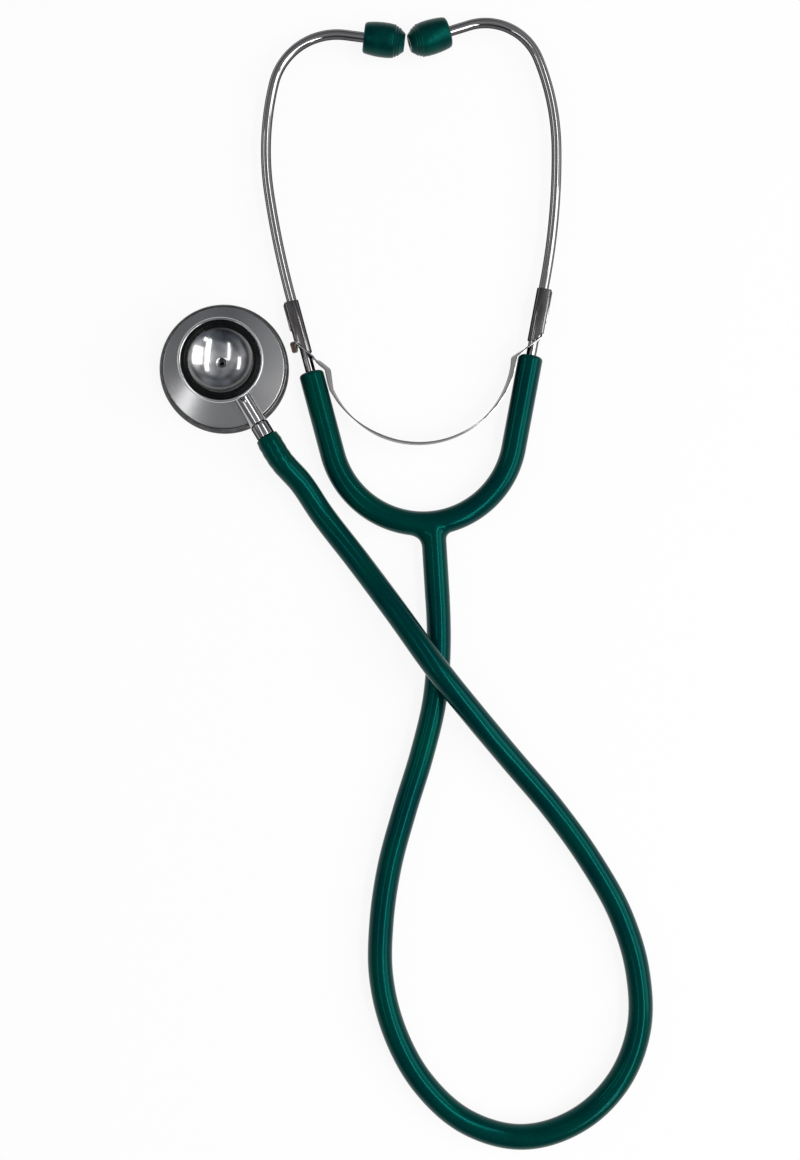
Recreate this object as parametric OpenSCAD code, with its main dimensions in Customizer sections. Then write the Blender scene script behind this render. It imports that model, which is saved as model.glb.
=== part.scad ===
// Dual-head stethoscope, lying on a table with its bell up and its hose in one loop.
// +Z is up and +Y runs from the hose to the ear tips. The origin is the middle of the
// diaphragm's face, which lies on the table.

/* [Chest piece] */
// Outer diameter of the diaphragm ring
rim_d = 47.5; // [45:0.1:50]
// Radial wall of the diaphragm ring
ring_wall = 1.5; // [1.2:0.05:2]
// Height of the top of the diaphragm ring above the table
ring_top = 6.2; // [5.6:0.05:6.3]
// Inner diameter of the ring's lip, which holds the diaphragm
lip_d = 42.1; // [40.5:0.1:42.5]
// Thickness of the ring's lip
lip_t = 0.8; // [0.6:0.05:1]
// Thickness of the diaphragm
disc_t = 0.35; // [0.25:0.01:0.5]
// Diameter of the diaphragm's flat middle
disc_flat_d = 34.8; // [30:0.1:35.5]
// Height of each of the three steps round the diaphragm
disc_step_h = 0.35; // [0.3:0.01:0.4]
// Width of each of those steps
disc_step_w = 0.75; // [0.6:0.01:0.85]
// Thickness of the washer between the diaphragm and the chest body
washer_t = 0.3; // [0.2:0.05:0.4]
// Width of the washer
washer_w = 1.4; // [1:0.1:1.6]
// Height of the dish's upper edge above the table
dish_edge_h = 6.7; // [6.5:0.05:7]
// Height of the dish where its cone meets the neck
dish_top_h = 8.4; // [8:0.1:8.8]
// Diameter of the neck between dish and bell
neck_d = 15; // [14:0.1:16]
// Height of the hollow behind the diaphragm, measured from the table
cavity_h = 3.6; // [3:0.1:4.5]
// Diameter of the sound hole in the dish
dish_hole_d = 3; // [2:0.1:3.6]
// Distance from the stem's axis up to the bell's spigot
bell_rise = 3; // [2.6:0.1:3.6]
// Thickness of the bell's floor
bell_floor_t = 1.8; // [1.6:0.1:2.4]
// Outer diameter of the bell's lip
bell_d = 30.8; // [30:0.1:32]
// Outer diameter of the non-chill ring on the bell
bell_ring_d = 28.2; // [27.6:0.1:28.6]
// Width of the non-chill ring
bell_ring_w = 2.5; // [2.2:0.1:2.8]
// Height of the non-chill ring
bell_ring_h = 2; // [1.6:0.1:2.2]
// Depth of the bell's concave inside, below the non-chill ring's seat
bell_depth = 4.6; // [4.2:0.1:4.8]
// Diameter of the sound hole in the bell
bell_hole_d = 1.9; // [1.4:0.1:2.2]
// Diameter of the countersink round that hole
bell_sink_d = 3.7; // [3:0.1:4.2]
// Diameter of the bell's spigot in the neck
spigot_d = 9; // [8:0.1:10]
// Length of that spigot
spigot_l = 1.6; // [1.2:0.1:1.8]

/* [Stem] */
// Height of the stem's axis above the table
stem_z = 11; // [10.9:0.05:11.3]
// Direction of the stem in the table plane, from +X
stem_az = -58.5; // [-62:0.5:-56]
// Diameter of the chest body's boss round the stem
boss_d = 6.3; // [6:0.1:6.6]
// Length of that boss from the chest piece's axis
boss_l = 24.8; // [24.4:0.1:26]
// Diameter of the stem's spindle, which turns in the boss
spindle_d = 4.34; // [4:0.02:4.5]
// Clearance round the spindle
spindle_gap = 0.03; // [0.02:0.01:0.05]
// Diameter of the stem's sound bore
stem_bore_d = 2.2; // [1.8:0.1:2.4]
// Diameter of the stem's collar
collar_d = 6.8; // [6.4:0.1:7.4]
// Length of the stem's collar
collar_l = 5.5; // [4.5:0.1:6.5]
// Length of the barbed nipple inside the hose
nipple_l = 12; // [9:0.5:14]
// Diameter over the nipple's barbs
barb_d = 5.6; // [5.2:0.1:6]
// Diameter of the detent ball
ball_d = 1.6; // [1.5:0.1:1.7]
// Depth of the ball's track round the spindle
track_depth = 0.4; // [0.3:0.05:0.5]

/* [Ear tubes] */
// Outer diameter of an ear tube
tube_d = 3.7; // [3.5:0.05:3.9]
// Wall of an ear tube
tube_wall = 0.5; // [0.4:0.05:0.6]
// Clearance round an ear tube where it turns
tube_gap = 0.03; // [0.02:0.01:0.05]
// Lean of the left ear tube's straight part from +Y
left_lean = 15; // [13:0.5:16]
// Lean of the right ear tube's straight part from +Y
right_lean = 10.7; // [9:0.1:12]
// Length of the left ear tube's straight part
left_straight = 44; // [43.6:0.1:46]
// Length of the right ear tube's straight part
right_straight = 43.4; // [43:0.1:45]
// Bend radius of the left tube's lower sweep
left_sweep_r = 350; // [330:5:370]
// Bend radius of the right tube's lower sweep
right_sweep_r = 254; // [240:2:270]
// Bend radius of the left tube's upper sweep
left_crown_r = 107; // [100:1:115]
// Bend radius of the right tube's upper sweep
right_crown_r = 91; // [86:1:96]
// Bend radius of the left tube's elbow
left_elbow_r = 24.4; // [22:0.1:26]
// Bend radius of the right tube's elbow
right_elbow_r = 21; // [19:0.1:23]
// Distance between the middles of the ear tips' front faces, across
tip_gap = 1.80; // [1:0.05:3]
// Place where the tips meet, as a share of the way from the left elbow to the right one
tip_meet = 0.498; // [0.47:0.001:0.51]
// Straight part of an ear tube inside its tip
tip_hold = 9; // [7:0.5:11]

/* [Ear tips] */
// Greatest diameter of an ear tip
tip_d = 12.8; // [12:0.1:13.4]
// Length of an ear tip
tip_l = 15.3; // [14.5:0.1:15.4]
// Diameter of an ear tip's front face
tip_front_d = 6.6; // [6:0.1:7.2]
// Length of the chamfer behind that face
tip_chamfer_l = 3.6; // [3:0.1:4.2]
// Diameter of the sound hole in the front face
tip_hole_d = 2.2; // [1.8:0.1:2.6]

/* [Yoke] */
// Outer diameter of the yoke's legs and stub
yoke_d = 9.2; // [8.8:0.1:9.6]
// Sound bore of the yoke and its stub
yoke_bore = 3.2; // [2.8:0.1:3.4]
// Radius of the yoke's U, on its centre line
yoke_r = 34.4; // [33:0.1:36]
// Place of the U's centre, across
yoke_x = 73.2; // [72.6:0.1:74]
// Place of the U's centre, along
yoke_y = -22.6; // [-23.4:0.1:-22]
// Length of the left leg above the U
left_leg_l = 31.3; // [30:0.1:33]
// Length of the right leg above the U
right_leg_l = 35; // [34:0.1:36]
// Depth to which an ear tube is pushed into its leg
tube_insert = 15; // [12:0.5:17]
// Place of the stub round the U, from its lowest point
stub_at = 6.4; // [4:0.1:8]
// Lean of the stub from -Y
stub_lean = 3.5; // [2:0.1:4]
// Length of the stub, from the U's centre line
stub_l = 28.2; // [26:0.1:30]
// Width of the flare where the stub leaves the U
flare_w = 1.6; // [1:0.1:2]

/* [Spring and sleeves] */
// Thickness of the leaf spring's strip
strip_t = 0.5; // [0.4:0.05:0.6]
// Width of the strip, upright
strip_w = 6.5; // [6:0.1:7]
// Width of the strip's end tabs, inside the sleeves
tab_w = 4; // [3.5:0.1:4.4]
// Bend radius of the strip's main arc
arc_r = 36; // [35:0.1:37]
// Height of that arc's centre above the middle between its ends
arc_rise = 6.2; // [5.6:0.1:6.8]
// Distance of that centre to the left of the middle
arc_side = 1.1; // [0.6:0.1:1.6]
// Distance from the left tube in to the bend where the strip turns into its arc
left_bend_in = 6.3; // [6:0.1:6.8]
// Distance of that bend below the left leg's top
left_bend_drop = 0.5; // [0:0.1:1]
// Distance from the right tube in to the bend where the strip turns into its arc
right_bend_in = 6; // [5.8:0.1:6.6]
// Distance of that bend below the right leg's top
right_bend_drop = 1.5; // [1:0.1:1.6]
// Sheet thickness of a sleeve
sleeve_t = 0.5; // [0.4:0.05:0.6]
// Length of a sleeve
sleeve_l = 19.8; // [18:0.1:20]
// Width of the pinched seam along a sleeve
pinch_w = 0.55; // [0.4:0.05:0.7]
// Distance from the left leg's top to the top of its sleeve
left_sleeve_top = 27; // [26.5:0.1:28.6]
// Distance from the right leg's top to the top of its sleeve
right_sleeve_top = 25.4; // [25:0.1:27]
// Angle at which the strip crosses the left tube
left_cross = 36.4; // [34:0.2:39]
// Angle at which the strip crosses the right tube
right_cross = 43.7; // [41:0.1:46]
// Width of the ear that the strip carries beside the left tube
ear_w = 2.5; // [2:0.1:2.6]
// Length of that ear
ear_l = 4.2; // [3.6:0.1:4.4]
// Thickness of that ear
ear_t = 1.2; // [0.8:0.1:1.4]

/* [Hose] */
// Outer diameter of the hose
hose_d = 9; // [8.6:0.1:9.2]
// Bore of the hose, which the stem's nipple fills
hose_bore = 4.6; // [4.2:0.1:4.8]

/* [Hidden] */
$fn = 64;
eps = 0.01;

steel = [0.72, 0.73, 0.74];
chrome = [0.55, 0.56, 0.58];
rubber_green = [0.0, 0.28, 0.26];
tip_green = [0.0, 0.25, 0.22];
black = [0.06, 0.07, 0.07];

// Chest piece, from the table upwards
edge_r = rim_d / 2 - ring_wall;
lip_top = 3 * disc_step_h;
washer_z = lip_top + disc_t;
seat_z = washer_z + washer_t;
neck_r = neck_d / 2;
neck_top = stem_z + bell_rise + spigot_l;
bell_floor_z = neck_top + bell_floor_t;
ring_seat_z = bell_floor_z + bell_depth;
chest_h = ring_seat_z + bell_ring_h;
bell_in_r = bell_ring_d / 2 - bell_ring_w;
bell_lip_z = chest_h - 0.3;
bowl_r = (bell_in_r * bell_in_r + bell_depth * bell_depth) / (2 * bell_depth);
ring_fit = 0.05;

// Stem, measured from the chest piece's axis
bore_r = spindle_d / 2 + spindle_gap;
shoulder_gap = 0.1;
collar_s = boss_l + shoulder_gap;
hose_s = collar_s + collar_l;
spindle_end = -7.6;
clip_face = -6.2;
clip_t = 0.6;
clip_r = 3.2;
clip_groove_r = 1.75;
detent_s = -3.2;
seal_s = 20;
seal_r = 0.32;
port_back = 1.6;
ball_at = spindle_d / 2 - track_depth + ball_d / 2 + 0.02;
spring_at = ball_at + ball_d / 2 + 0.02;
spring_l = 1.4;
screw_at = spring_at + spring_l + 0.02;
screw_l = 1.6;

// Yoke and ear tubes, in the flat plane that they share
yoke_centre = [yoke_x, yoke_y];
tube_r = tube_d / 2;
turn_r = tube_r + tube_gap;
left_up = [-sin(left_lean), cos(left_lean)];
right_up = [sin(right_lean), cos(right_lean)];
left_out = [-cos(left_lean), -sin(left_lean)];
right_out = [cos(right_lean), -sin(right_lean)];
left_leg_top = yoke_centre + yoke_r * left_out + left_leg_l * left_up;
right_leg_top = yoke_centre + yoke_r * right_out + right_leg_l * right_up;
left_heading = 90 + left_lean;
right_heading = 90 - right_lean;
stub_from = yoke_centre + yoke_r * [sin(stub_at), -cos(stub_at)];
stub_end = stub_from + stub_l * [sin(stub_lean), -cos(stub_lean)];

// Bends of the ear tubes: [length, 0] is straight, [radius, angle] turns left by the angle
left_turns = [[left_straight, 0], [left_sweep_r, -6.4], [0, 0], [left_crown_r, -21.9],
    [0, 0], [left_elbow_r, -83.1]];
right_turns = [[right_straight, 0], [right_sweep_r, 11.3], [0, 0], [right_crown_r, 21.7],
    [0, 0], [right_elbow_r, 85.9]];
// Straight pieces lap into the bends, which are thinner by a hair, so that they fuse
lap = 0.02;
lap_l = 0.4;
left_tube_from = left_leg_top - tube_insert * left_up;
right_tube_from = right_leg_top - tube_insert * right_up;
left_elbow = bend_end(left_turns, left_tube_from, left_heading);
right_elbow = bend_end(right_turns, right_tube_from, right_heading);
left_tip_heading = left_heading + heading_change(left_turns);
right_tip_heading = right_heading + heading_change(right_turns);
// The last straight part of each tube brings its tip to where the two tips meet
meet_x = left_elbow[0] + tip_meet * (right_elbow[0] - left_elbow[0]);
left_reach = (meet_x - tip_gap / 2 - left_elbow[0]) / cos(left_tip_heading) - tip_l;
right_reach = (meet_x + tip_gap / 2 - right_elbow[0]) / cos(right_tip_heading) - tip_l;
left_bends = concat(left_turns, [[left_reach + tip_hold, 0]]);
right_bends = concat(right_turns, [[right_reach + tip_hold, 0]]);
left_tip_end = bend_end(left_bends, left_tube_from, left_heading);

// The plane tilts a little, so that the stub and the ear tips both lie on the table
tilt = asin((tip_d - yoke_d) / 2 / (left_tip_end[1] - stub_end[1]));

// Leaf spring, in each tube's own directions: outward from the tube, and up from the leg
tab_out = tube_r + 0.05 + strip_t / 2;
knee_out = tab_out + 0.35;
left_bend = [-left_bend_in, -left_bend_drop];
right_bend = [-right_bend_in, -right_bend_drop];
left_knee = left_bend + (knee_out - left_bend[0]) * [1, 1 / tan(left_cross)];
right_knee = right_bend + (knee_out - right_bend[0]) * [1, 1 / tan(right_cross)];
tab_rise = 1.3;
tab_inset = 1.5;
strip_gap = 0.3;
arc_from = 206;
arc_to = 350;
arc_centre = (from_left(left_bend) + from_right(right_bend)) / 2 + [-arc_side, arc_rise];
leg_round = 1.4;
flare_l = 3.4;

// Hose: centre line as [x, y, lift off the table], over itself once and up to the stem
hose_r = hose_d / 2;
over_lift = hose_d + 0.5;
hose_start = [stub_end[0], stub_end[1], yoke_d / 2];
hose_finish = [hose_s * cos(stem_az), hose_s * sin(stem_az), stem_z];
hose_first = [sin(stub_lean), -cos(stub_lean) * cos(tilt), -cos(stub_lean) * sin(tilt)];
hose_last = [-cos(stem_az), -sin(stem_az), 0];
hose_route = [
    [79.2, -101.6, 0], [77.7, -121.9, 0], [72.9, -142.3, 0], [66.6, -162.6, 0],
    [61, -183.3, 0], [58.1, -203.3, 0], [57.9, -222.6, 0], [62.9, -243.3, 0],
    [73.6, -262.5, 0], [89.5, -276.6, 0], [110.3, -282.3, 0], [131, -276.2, 0],
    [145.8, -262.1, 0], [153.2, -243.3, 0], [152.8, -222.6, 0], [146.5, -201.5, 0],
    [135.2, -181.3, 0], [121.2, -161.9, 0.2], [106.3, -144.5, 2.5], [91.5, -127.1, 6.9],
    [77.4, -109.7, over_lift], [63.2, -89.7, 5.7], [49, -70.4, 1.2], [35.9, -53.4, 0.6],
    [28.1, -42, 3.1], [21.2, -34.5, 5.9]];

function unit(v) = v / norm(v);
function cross_unit(a, b) = unit(cross(a, b));
function arc_points(c, r, a, b, n) =
    [for (i = [0 : n]) c + r * [cos(a + (b - a) * i / n), sin(a + (b - a) * i / n)]];

// Where a run of bends ends
function after_bend(p, h, run) = run[1] == 0
    ? p + run[0] * [cos(h), sin(h)]
    : let (s = sign(run[1]), c = p + s * run[0] * [-sin(h), cos(h)])
        c - s * run[0] * [-sin(h + run[1]), cos(h + run[1])];
function bend_end(runs, p, h, k = 0) = k == len(runs)
    ? p
    : bend_end(runs, after_bend(p, h, runs[k]), h + runs[k][1], k + 1);

function heading_change(runs, k = 0) =
    k == len(runs) ? 0 : runs[k][1] + heading_change(runs, k + 1);

// Outline of a strip of thickness t along a line of points, with mitred corners
function strip_side(p, i) =
    let (a = unit(p[max(i, 1)] - p[max(i, 1) - 1]),
         b = unit(p[min(i + 1, len(p) - 1)] - p[min(i, len(p) - 2)]),
         m = unit(a + b))
    [-m[1], m[0]] / (m * a);
function strip_outline(p, t) = concat(
    [for (i = [0 : len(p) - 1]) p[i] + t / 2 * strip_side(p, i)],
    [for (i = [len(p) - 1 : -1 : 0]) p[i] - t / 2 * strip_side(p, i)]);

// Places a child in the plane of the yoke and the ear tubes
module flat_plane() {
    translate([0, stub_end[1], yoke_d / 2])
        rotate([tilt, 0, 0])
            translate([0, -stub_end[1], 0])
                children();
}

// Puts a child at a leg's top, with +Y up the tube and +X outward from it
module at_left_tube() {
    translate([left_leg_top[0], left_leg_top[1], 0])
        rotate([0, 0, left_lean])
            mirror([1, 0, 0])
                children();
}

module at_right_tube() {
    translate([right_leg_top[0], right_leg_top[1], 0])
        rotate([0, 0, -right_lean])
            children();
}

// Puts a child on the stem's axis, with +X away from the chest piece
module on_stem() {
    translate([0, 0, stem_z])
        rotate([0, 0, stem_az])
            children();
}

module rod_x(from, to, r) {
    translate([from, 0, 0])
        rotate([0, 90, 0])
            cylinder(h = to - from, r = r);
}

module rod_y(from, to, r) {
    translate([0, from, 0])
        rotate([-90, 0, 0])
            cylinder(h = to - from, r = r);
}

// Straight and bent tubes, each from where the last one ended
module bent_tube(runs, r, bore, k = 0) {
    if (k < len(runs)) {
        size = runs[k][0];
        turn = runs[k][1];
        if (turn == 0) {
            from = k == 0 ? 0 : -lap_l;
            to = k == len(runs) - 1 ? size : size + lap_l;
            translate([0, from, 0])
                rotate([-90, 0, 0])
                    linear_extrude(height = to - from)
                        tube_section(r, bore);
            translate([0, size, 0])
                bent_tube(runs, r, bore, k + 1);
        } else {
            mirror([turn < 0 ? 1 : 0, 0, 0])
                translate([-size, 0, 0])
                    rotate_extrude(angle = abs(turn), $fn = 160)
                        translate([size, 0])
                            tube_section(r - lap, bore + lap);
            translate([-sign(turn) * size, 0, 0])
                rotate([0, 0, turn])
                    translate([sign(turn) * size, 0, 0])
                        bent_tube(runs, r, bore, k + 1);
        }
    }
}

module tube_section(r, bore) {
    difference() {
        circle(r = r, $fn = 48);
        circle(r = bore, $fn = 48);
    }
}

// Puts a child at the end of a run of bends
module at_bend_end(runs, k = 0) {
    if (k == len(runs)) {
        children();
    } else if (runs[k][1] == 0) {
        translate([0, runs[k][0], 0])
            at_bend_end(runs, k + 1)
                children();
    } else {
        translate([-sign(runs[k][1]) * runs[k][0], 0, 0])
            rotate([0, 0, runs[k][1]])
                translate([sign(runs[k][1]) * runs[k][0], 0, 0])
                    at_bend_end(runs, k + 1)
                        children();
    }
}

module from_leg(start, heading) {
    flat_plane()
        translate([start[0], start[1], 0])
            rotate([0, 0, heading - 90])
                children();
}

module ear_tube(start, heading, bends) {
    color(chrome)
        from_leg(start, heading)
            bent_tube(bends, tube_r, tube_r - tube_wall);
}

// Ear tip from its front face at y = 0 back to its flat end, which the tube enters
module ear_tip_shape() {
    r = tip_d / 2;
    front = tip_front_d / 2;
    back = r - 0.9;
    barrel = tip_l - tip_chamfer_l;
    ridge_h = 0.18;
    ridge_gap = 1.3;
    rotate([90, 0, 0])
        difference() {
            union() {
                rotate_extrude($fn = 96)
                    polygon([[0, 0], [front, 0], [front + 0.35, 0.25],
                        [r - 0.45, tip_chamfer_l - 0.25], [r - 0.1, tip_chamfer_l + 0.5],
                        [r, tip_chamfer_l + 2], [r, barrel * 0.75],
                        [r - 0.25, tip_l - 2.4], [back, tip_l - 0.35], [back - 0.35, tip_l],
                        [0, tip_l]]);
                for (i = [0 : 2])
                    translate([0, 0, tip_chamfer_l - 2.4 + i * ridge_gap / 1.6])
                        cylinder(h = 0.4, r = front + (r - front) * (0.36 + 0.23 * i) + ridge_h);
            }
            translate([0, 0, -eps])
                cylinder(h = tip_l + 1, r = tip_hole_d / 2);
            translate([0, 0, tip_l - tip_hold])
                cylinder(h = tip_hold + 1, r = tube_r + 0.01);
        }
}

// The tube ends inside the tip, so the tip's front face lies ahead of the tube's end
module ear_tip(start, heading, bends) {
    color(tip_green)
        from_leg(start, heading)
            at_bend_end(bends)
                translate([0, tip_l - tip_hold, 0])
                    ear_tip_shape();
}

module left_ear_tip() {
    ear_tip(left_tube_from, left_heading, left_bends);
}

module right_ear_tip() {
    ear_tip(right_tube_from, right_heading, right_bends);
}

module left_ear_tube() {
    ear_tube(left_tube_from, left_heading, left_bends);
}

module right_ear_tube() {
    ear_tube(right_tube_from, right_heading, right_bends);
}

// Sheet sleeve round the tube and the strip's tab, cut off aslant where the strip crosses
module spring_sleeve(top, knee, angle) {
    wrap_r = turn_r + sleeve_t;
    flat_out = tab_out + strip_t / 2 + 0.05;
    tab_from = knee[1] + tab_rise + strip_gap;
    pinch_l = 0.72 * (top - tab_from);
    difference() {
        union() {
            rod_y(top - sleeve_l, top, wrap_r);
            translate([0, tab_from, -wrap_r])
                cube([flat_out + sleeve_t, top - tab_from, 2 * wrap_r]);
            translate([flat_out, top - pinch_l - 0.6, -0.5])
                cube([sleeve_t + pinch_w, pinch_l, 1]);
        }
        rod_y(top - sleeve_l - 1, top + 1, turn_r);
        translate([0, tab_from - 1, -tab_w / 2 - 0.05])
            cube([flat_out, top - tab_from + 2, tab_w + 0.1]);
        translate([tube_r + 0.02, top - sleeve_l - 1, -strip_w])
            cube([8, tab_from - top + sleeve_l + 1, 2 * strip_w]);
        translate([knee[0], knee[1], 0])
            rotate([0, 0, 90 - angle])
                translate([-sleeve_l, strip_t / 2 + strip_gap - sleeve_l, -strip_w])
                    cube([2 * sleeve_l, sleeve_l, 2 * strip_w]);
    }
}

module left_spring_sleeve() {
    color(chrome)
        flat_plane()
            at_left_tube()
                spring_sleeve(left_sleeve_top, left_knee, left_cross);
}

module right_spring_sleeve() {
    color(chrome)
        flat_plane()
            at_right_tube()
                spring_sleeve(right_sleeve_top, right_knee, right_cross);
}

// A point given in a tube's own directions, in the flat plane
function from_left(p) = left_leg_top + p[0] * left_out + p[1] * left_up;
function from_right(p) = right_leg_top + p[0] * right_out + p[1] * right_up;

// Narrows the strip to its tab, and opens the slot that the tube passes through
module strip_cuts(bend, knee, top) {
    tab_from = knee[1] + tab_rise;
    for (side = [0, 1])
        mirror([0, 0, side])
            translate([tube_r, tab_from, tab_w / 2])
                cube([4, top - tab_from, strip_w]);
    rod_y(bend[1] - 2, knee[1] + 0.1, tube_r + 0.25);
}

module leaf_spring() {
    left_tab = left_knee[1] + tab_rise;
    right_tab = right_knee[1] + tab_rise;
    steps = 48;
    line = concat(
        [for (p = [[tab_out, left_sleeve_top - tab_inset], [tab_out, left_tab], left_knee,
            left_bend]) from_left(p)],
        arc_points(arc_centre, arc_r, arc_from, arc_to, steps),
        [for (p = [right_bend, right_knee, [tab_out, right_tab],
            [tab_out, right_sleeve_top - tab_inset]]) from_right(p)]);
    color(chrome)
        flat_plane() {
            difference() {
                linear_extrude(height = strip_w, center = true)
                    polygon(strip_outline(line, strip_t));
                at_left_tube()
                    strip_cuts(left_bend, left_knee, left_sleeve_top);
                at_right_tube()
                    strip_cuts(right_bend, right_knee, right_sleeve_top);
            }
            at_left_tube()
                translate([knee_out - 0.1, left_knee[1] + 1.2 - ear_l, -ear_t / 2])
                    cube([ear_w, ear_l, ear_t]);
        }
}

module at_stub() {
    translate([stub_from[0], stub_from[1], 0])
        rotate([0, 0, 180 + stub_lean])
            children();
}

module yoke_u(r) {
    translate([yoke_centre[0], yoke_centre[1], 0])
        rotate([0, 0, 180 + left_lean])
            rotate_extrude(angle = 180 - left_lean - right_lean, $fn = 160)
                translate([yoke_r, 0])
                    circle(r = r, $fn = 48);
}

// A leg down to the U, with a rounded end that closes on the ear tube
module yoke_leg(length) {
    r = yoke_d / 2;
    rotate([90, 0, 0])
        rotate_extrude()
            polygon(concat([[0, length + lap_l], [0, 0]],
                arc_points([r - leg_round, leg_round], leg_round, -90, 0, 6),
                [[r, length + lap_l]]));
}

module leg_bore(length) {
    rod_y(-length - lap_l, 1, yoke_bore / 2);
    rod_y(-tube_insert - 0.2, 1, turn_r);
}

module yoke_tubing() {
    color(rubber_green)
        flat_plane()
            difference() {
                union() {
                    yoke_u(yoke_d / 2 - lap);
                    at_left_tube()
                        yoke_leg(left_leg_l);
                    at_right_tube()
                        yoke_leg(right_leg_l);
                    at_stub() {
                        rod_y(0, stub_l, yoke_d / 2);
                        intersection() {
                            translate([0, yoke_d / 2 - 1, 0])
                                rotate([-90, 0, 0])
                                    cylinder(h = flare_l, r1 = yoke_d / 2 + flare_w,
                                        r2 = yoke_d / 2 - lap);
                            cube([yoke_d * 2, yoke_d * 2, yoke_d - 2 * lap], center = true);
                        }
                    }
                }
                yoke_u(yoke_bore / 2 + lap);
                at_left_tube()
                    leg_bore(left_leg_l);
                at_right_tube()
                    leg_bore(right_leg_l);
                at_stub()
                    rod_y(0, stub_l + 1, yoke_bore / 2);
            }
}

// Hose: a ring of points round each point of its route
function hose_way() = concat([hose_start], [for (p = hose_route) p + [0, 0, hose_r]],
    [hose_finish]);
function way_dir(p, i) = i == 0
    ? hose_first
    : i == len(p) - 1 ? hose_last : unit(unit(p[i] - p[i - 1]) + unit(p[i + 1] - p[i]));
function way_ring(p, i, n) =
    let (d = way_dir(p, i), side = cross_unit(d, [0, 0, 1]), up = cross(side, d))
    [for (k = [0 : n - 1]) p[i] + hose_r * (cos(360 * k / n) * side + sin(360 * k / n) * up)];

module hose() {
    way = hose_way();
    sides = 12;
    rings = len(way);
    wall = [for (i = [0 : rings - 2], k = [0 : sides - 1])
        let (a = i * sides + k, b = i * sides + (k + 1) % sides)
        each [[a, b, b + sides], [a, b + sides, a + sides]]];
    color(rubber_green)
        polyhedron(
            points = [for (i = [0 : rings - 1]) each way_ring(way, i, sides)],
            faces = concat([[for (k = [sides - 1 : -1 : 0]) k]], wall,
                [[for (k = [0 : sides - 1]) (rings - 1) * sides + k]]));
}

// Ring-shaped cutter that leaves a neck of radius r in the spindle
module spindle_groove(from, to, r) {
    difference() {
        rod_x(from, to, spindle_d);
        rod_x(from - 1, to + 1, r);
    }
}

module stem() {
    spindle_r = spindle_d / 2;
    nipple_r = hose_bore / 2;
    barb_step = nipple_l / 3;
    color(chrome)
        on_stem()
            difference() {
                union() {
                    rod_x(spindle_end, collar_s + eps, spindle_r);
                    rod_x(collar_s, hose_s, collar_d / 2);
                    rod_x(hose_s - eps, hose_s + nipple_l, nipple_r);
                    for (i = [0 : 2])
                        translate([hose_s + 0.6 + i * barb_step, 0, 0])
                            rotate([0, 90, 0])
                                cylinder(h = barb_step - 0.8, r1 = barb_d / 2, r2 = nipple_r);
                }
                rod_x(-port_back, hose_s + nipple_l + 1, stem_bore_d / 2);
                cylinder(h = spindle_d, r = bell_hole_d / 2);
                translate([detent_s, 0, 0])
                    rotate([0, 90, 0])
                        rotate_extrude()
                            translate([ball_at, 0])
                                circle(r = ball_d / 2 + 0.03, $fn = 32);
                spindle_groove(clip_face - shoulder_gap - clip_t - 0.05,
                    clip_face - shoulder_gap + 0.05, clip_groove_r);
                spindle_groove(seal_s - seal_r - 0.05, seal_s + seal_r + 0.05,
                    spindle_r - 2 * seal_r);
            }
}

module stem_seal() {
    color(black)
        on_stem()
            translate([seal_s, 0, 0])
                rotate([0, 90, 0])
                    rotate_extrude()
                        translate([spindle_d / 2 - seal_r, 0])
                            circle(r = seal_r - 0.01, $fn = 24);
}

module stem_clip() {
    color(steel)
        on_stem()
            translate([clip_face - shoulder_gap - clip_t, 0, 0])
                rotate([0, 90, 0])
                    rotate_extrude(angle = 290)
                        translate([clip_groove_r + 0.02, 0])
                            square([clip_r - clip_groove_r, clip_t]);
}

module chest_body() {
    color(steel)
        difference() {
            union() {
                rotate_extrude($fn = 120)
                    polygon([[0, cavity_h], [edge_r - 2.2, seat_z + 0.8], [edge_r - 2, seat_z],
                        [edge_r, seat_z], [edge_r, dish_edge_h - 0.35],
                        [edge_r - 0.35, dish_edge_h], [neck_r + 1.6, dish_top_h],
                        [neck_r, dish_top_h + 1.6], [neck_r, neck_top], [0, neck_top]]);
                on_stem()
                    rod_x(0, boss_l, boss_d / 2);
            }
            on_stem() {
                rod_x(-neck_d, boss_l + 1, bore_r);
                rod_x(-neck_d, clip_face, clip_r + 0.4);
                translate([detent_s, 0, 0])
                    rotate([90, 0, 0])
                        cylinder(h = neck_d, r = ball_d / 2 + 0.05);
            }
            translate([0, 0, cavity_h - 1])
                cylinder(h = stem_z - cavity_h + 1, r = dish_hole_d / 2);
            translate([0, 0, stem_z])
                cylinder(h = chest_h, r = bell_hole_d / 2);
            translate([0, 0, neck_top - spigot_l])
                cylinder(h = chest_h, r = spigot_d / 2 + 0.02);
        }
}

module bell_cup() {
    b = bell_d / 2;
    ring_r = bell_ring_d / 2 + ring_fit;
    color(chrome)
        difference() {
            rotate_extrude($fn = 120)
                polygon([[0, neck_top - spigot_l], [spigot_d / 2, neck_top - spigot_l],
                    [spigot_d / 2, neck_top], [neck_r, neck_top],
                    [neck_r + 0.7, neck_top + 0.3], [b - 4.8, bell_floor_z - 0.4],
                    [b - 2.1, bell_floor_z + 1.5], [b - 0.5, bell_floor_z + 3.6],
                    [b, bell_floor_z + 5], [b, bell_lip_z - 0.5], [b - 0.5, bell_lip_z],
                    [ring_r, bell_lip_z], [ring_r, ring_seat_z], [0, ring_seat_z]]);
            translate([0, 0, bell_floor_z + bowl_r])
                sphere(r = bowl_r, $fn = 120);
            translate([0, 0, bell_floor_z - 0.6])
                cylinder(h = 0.8, r1 = bell_hole_d / 2, r2 = bell_sink_d / 2);
            cylinder(h = chest_h, r = bell_hole_d / 2);
        }
}

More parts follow.
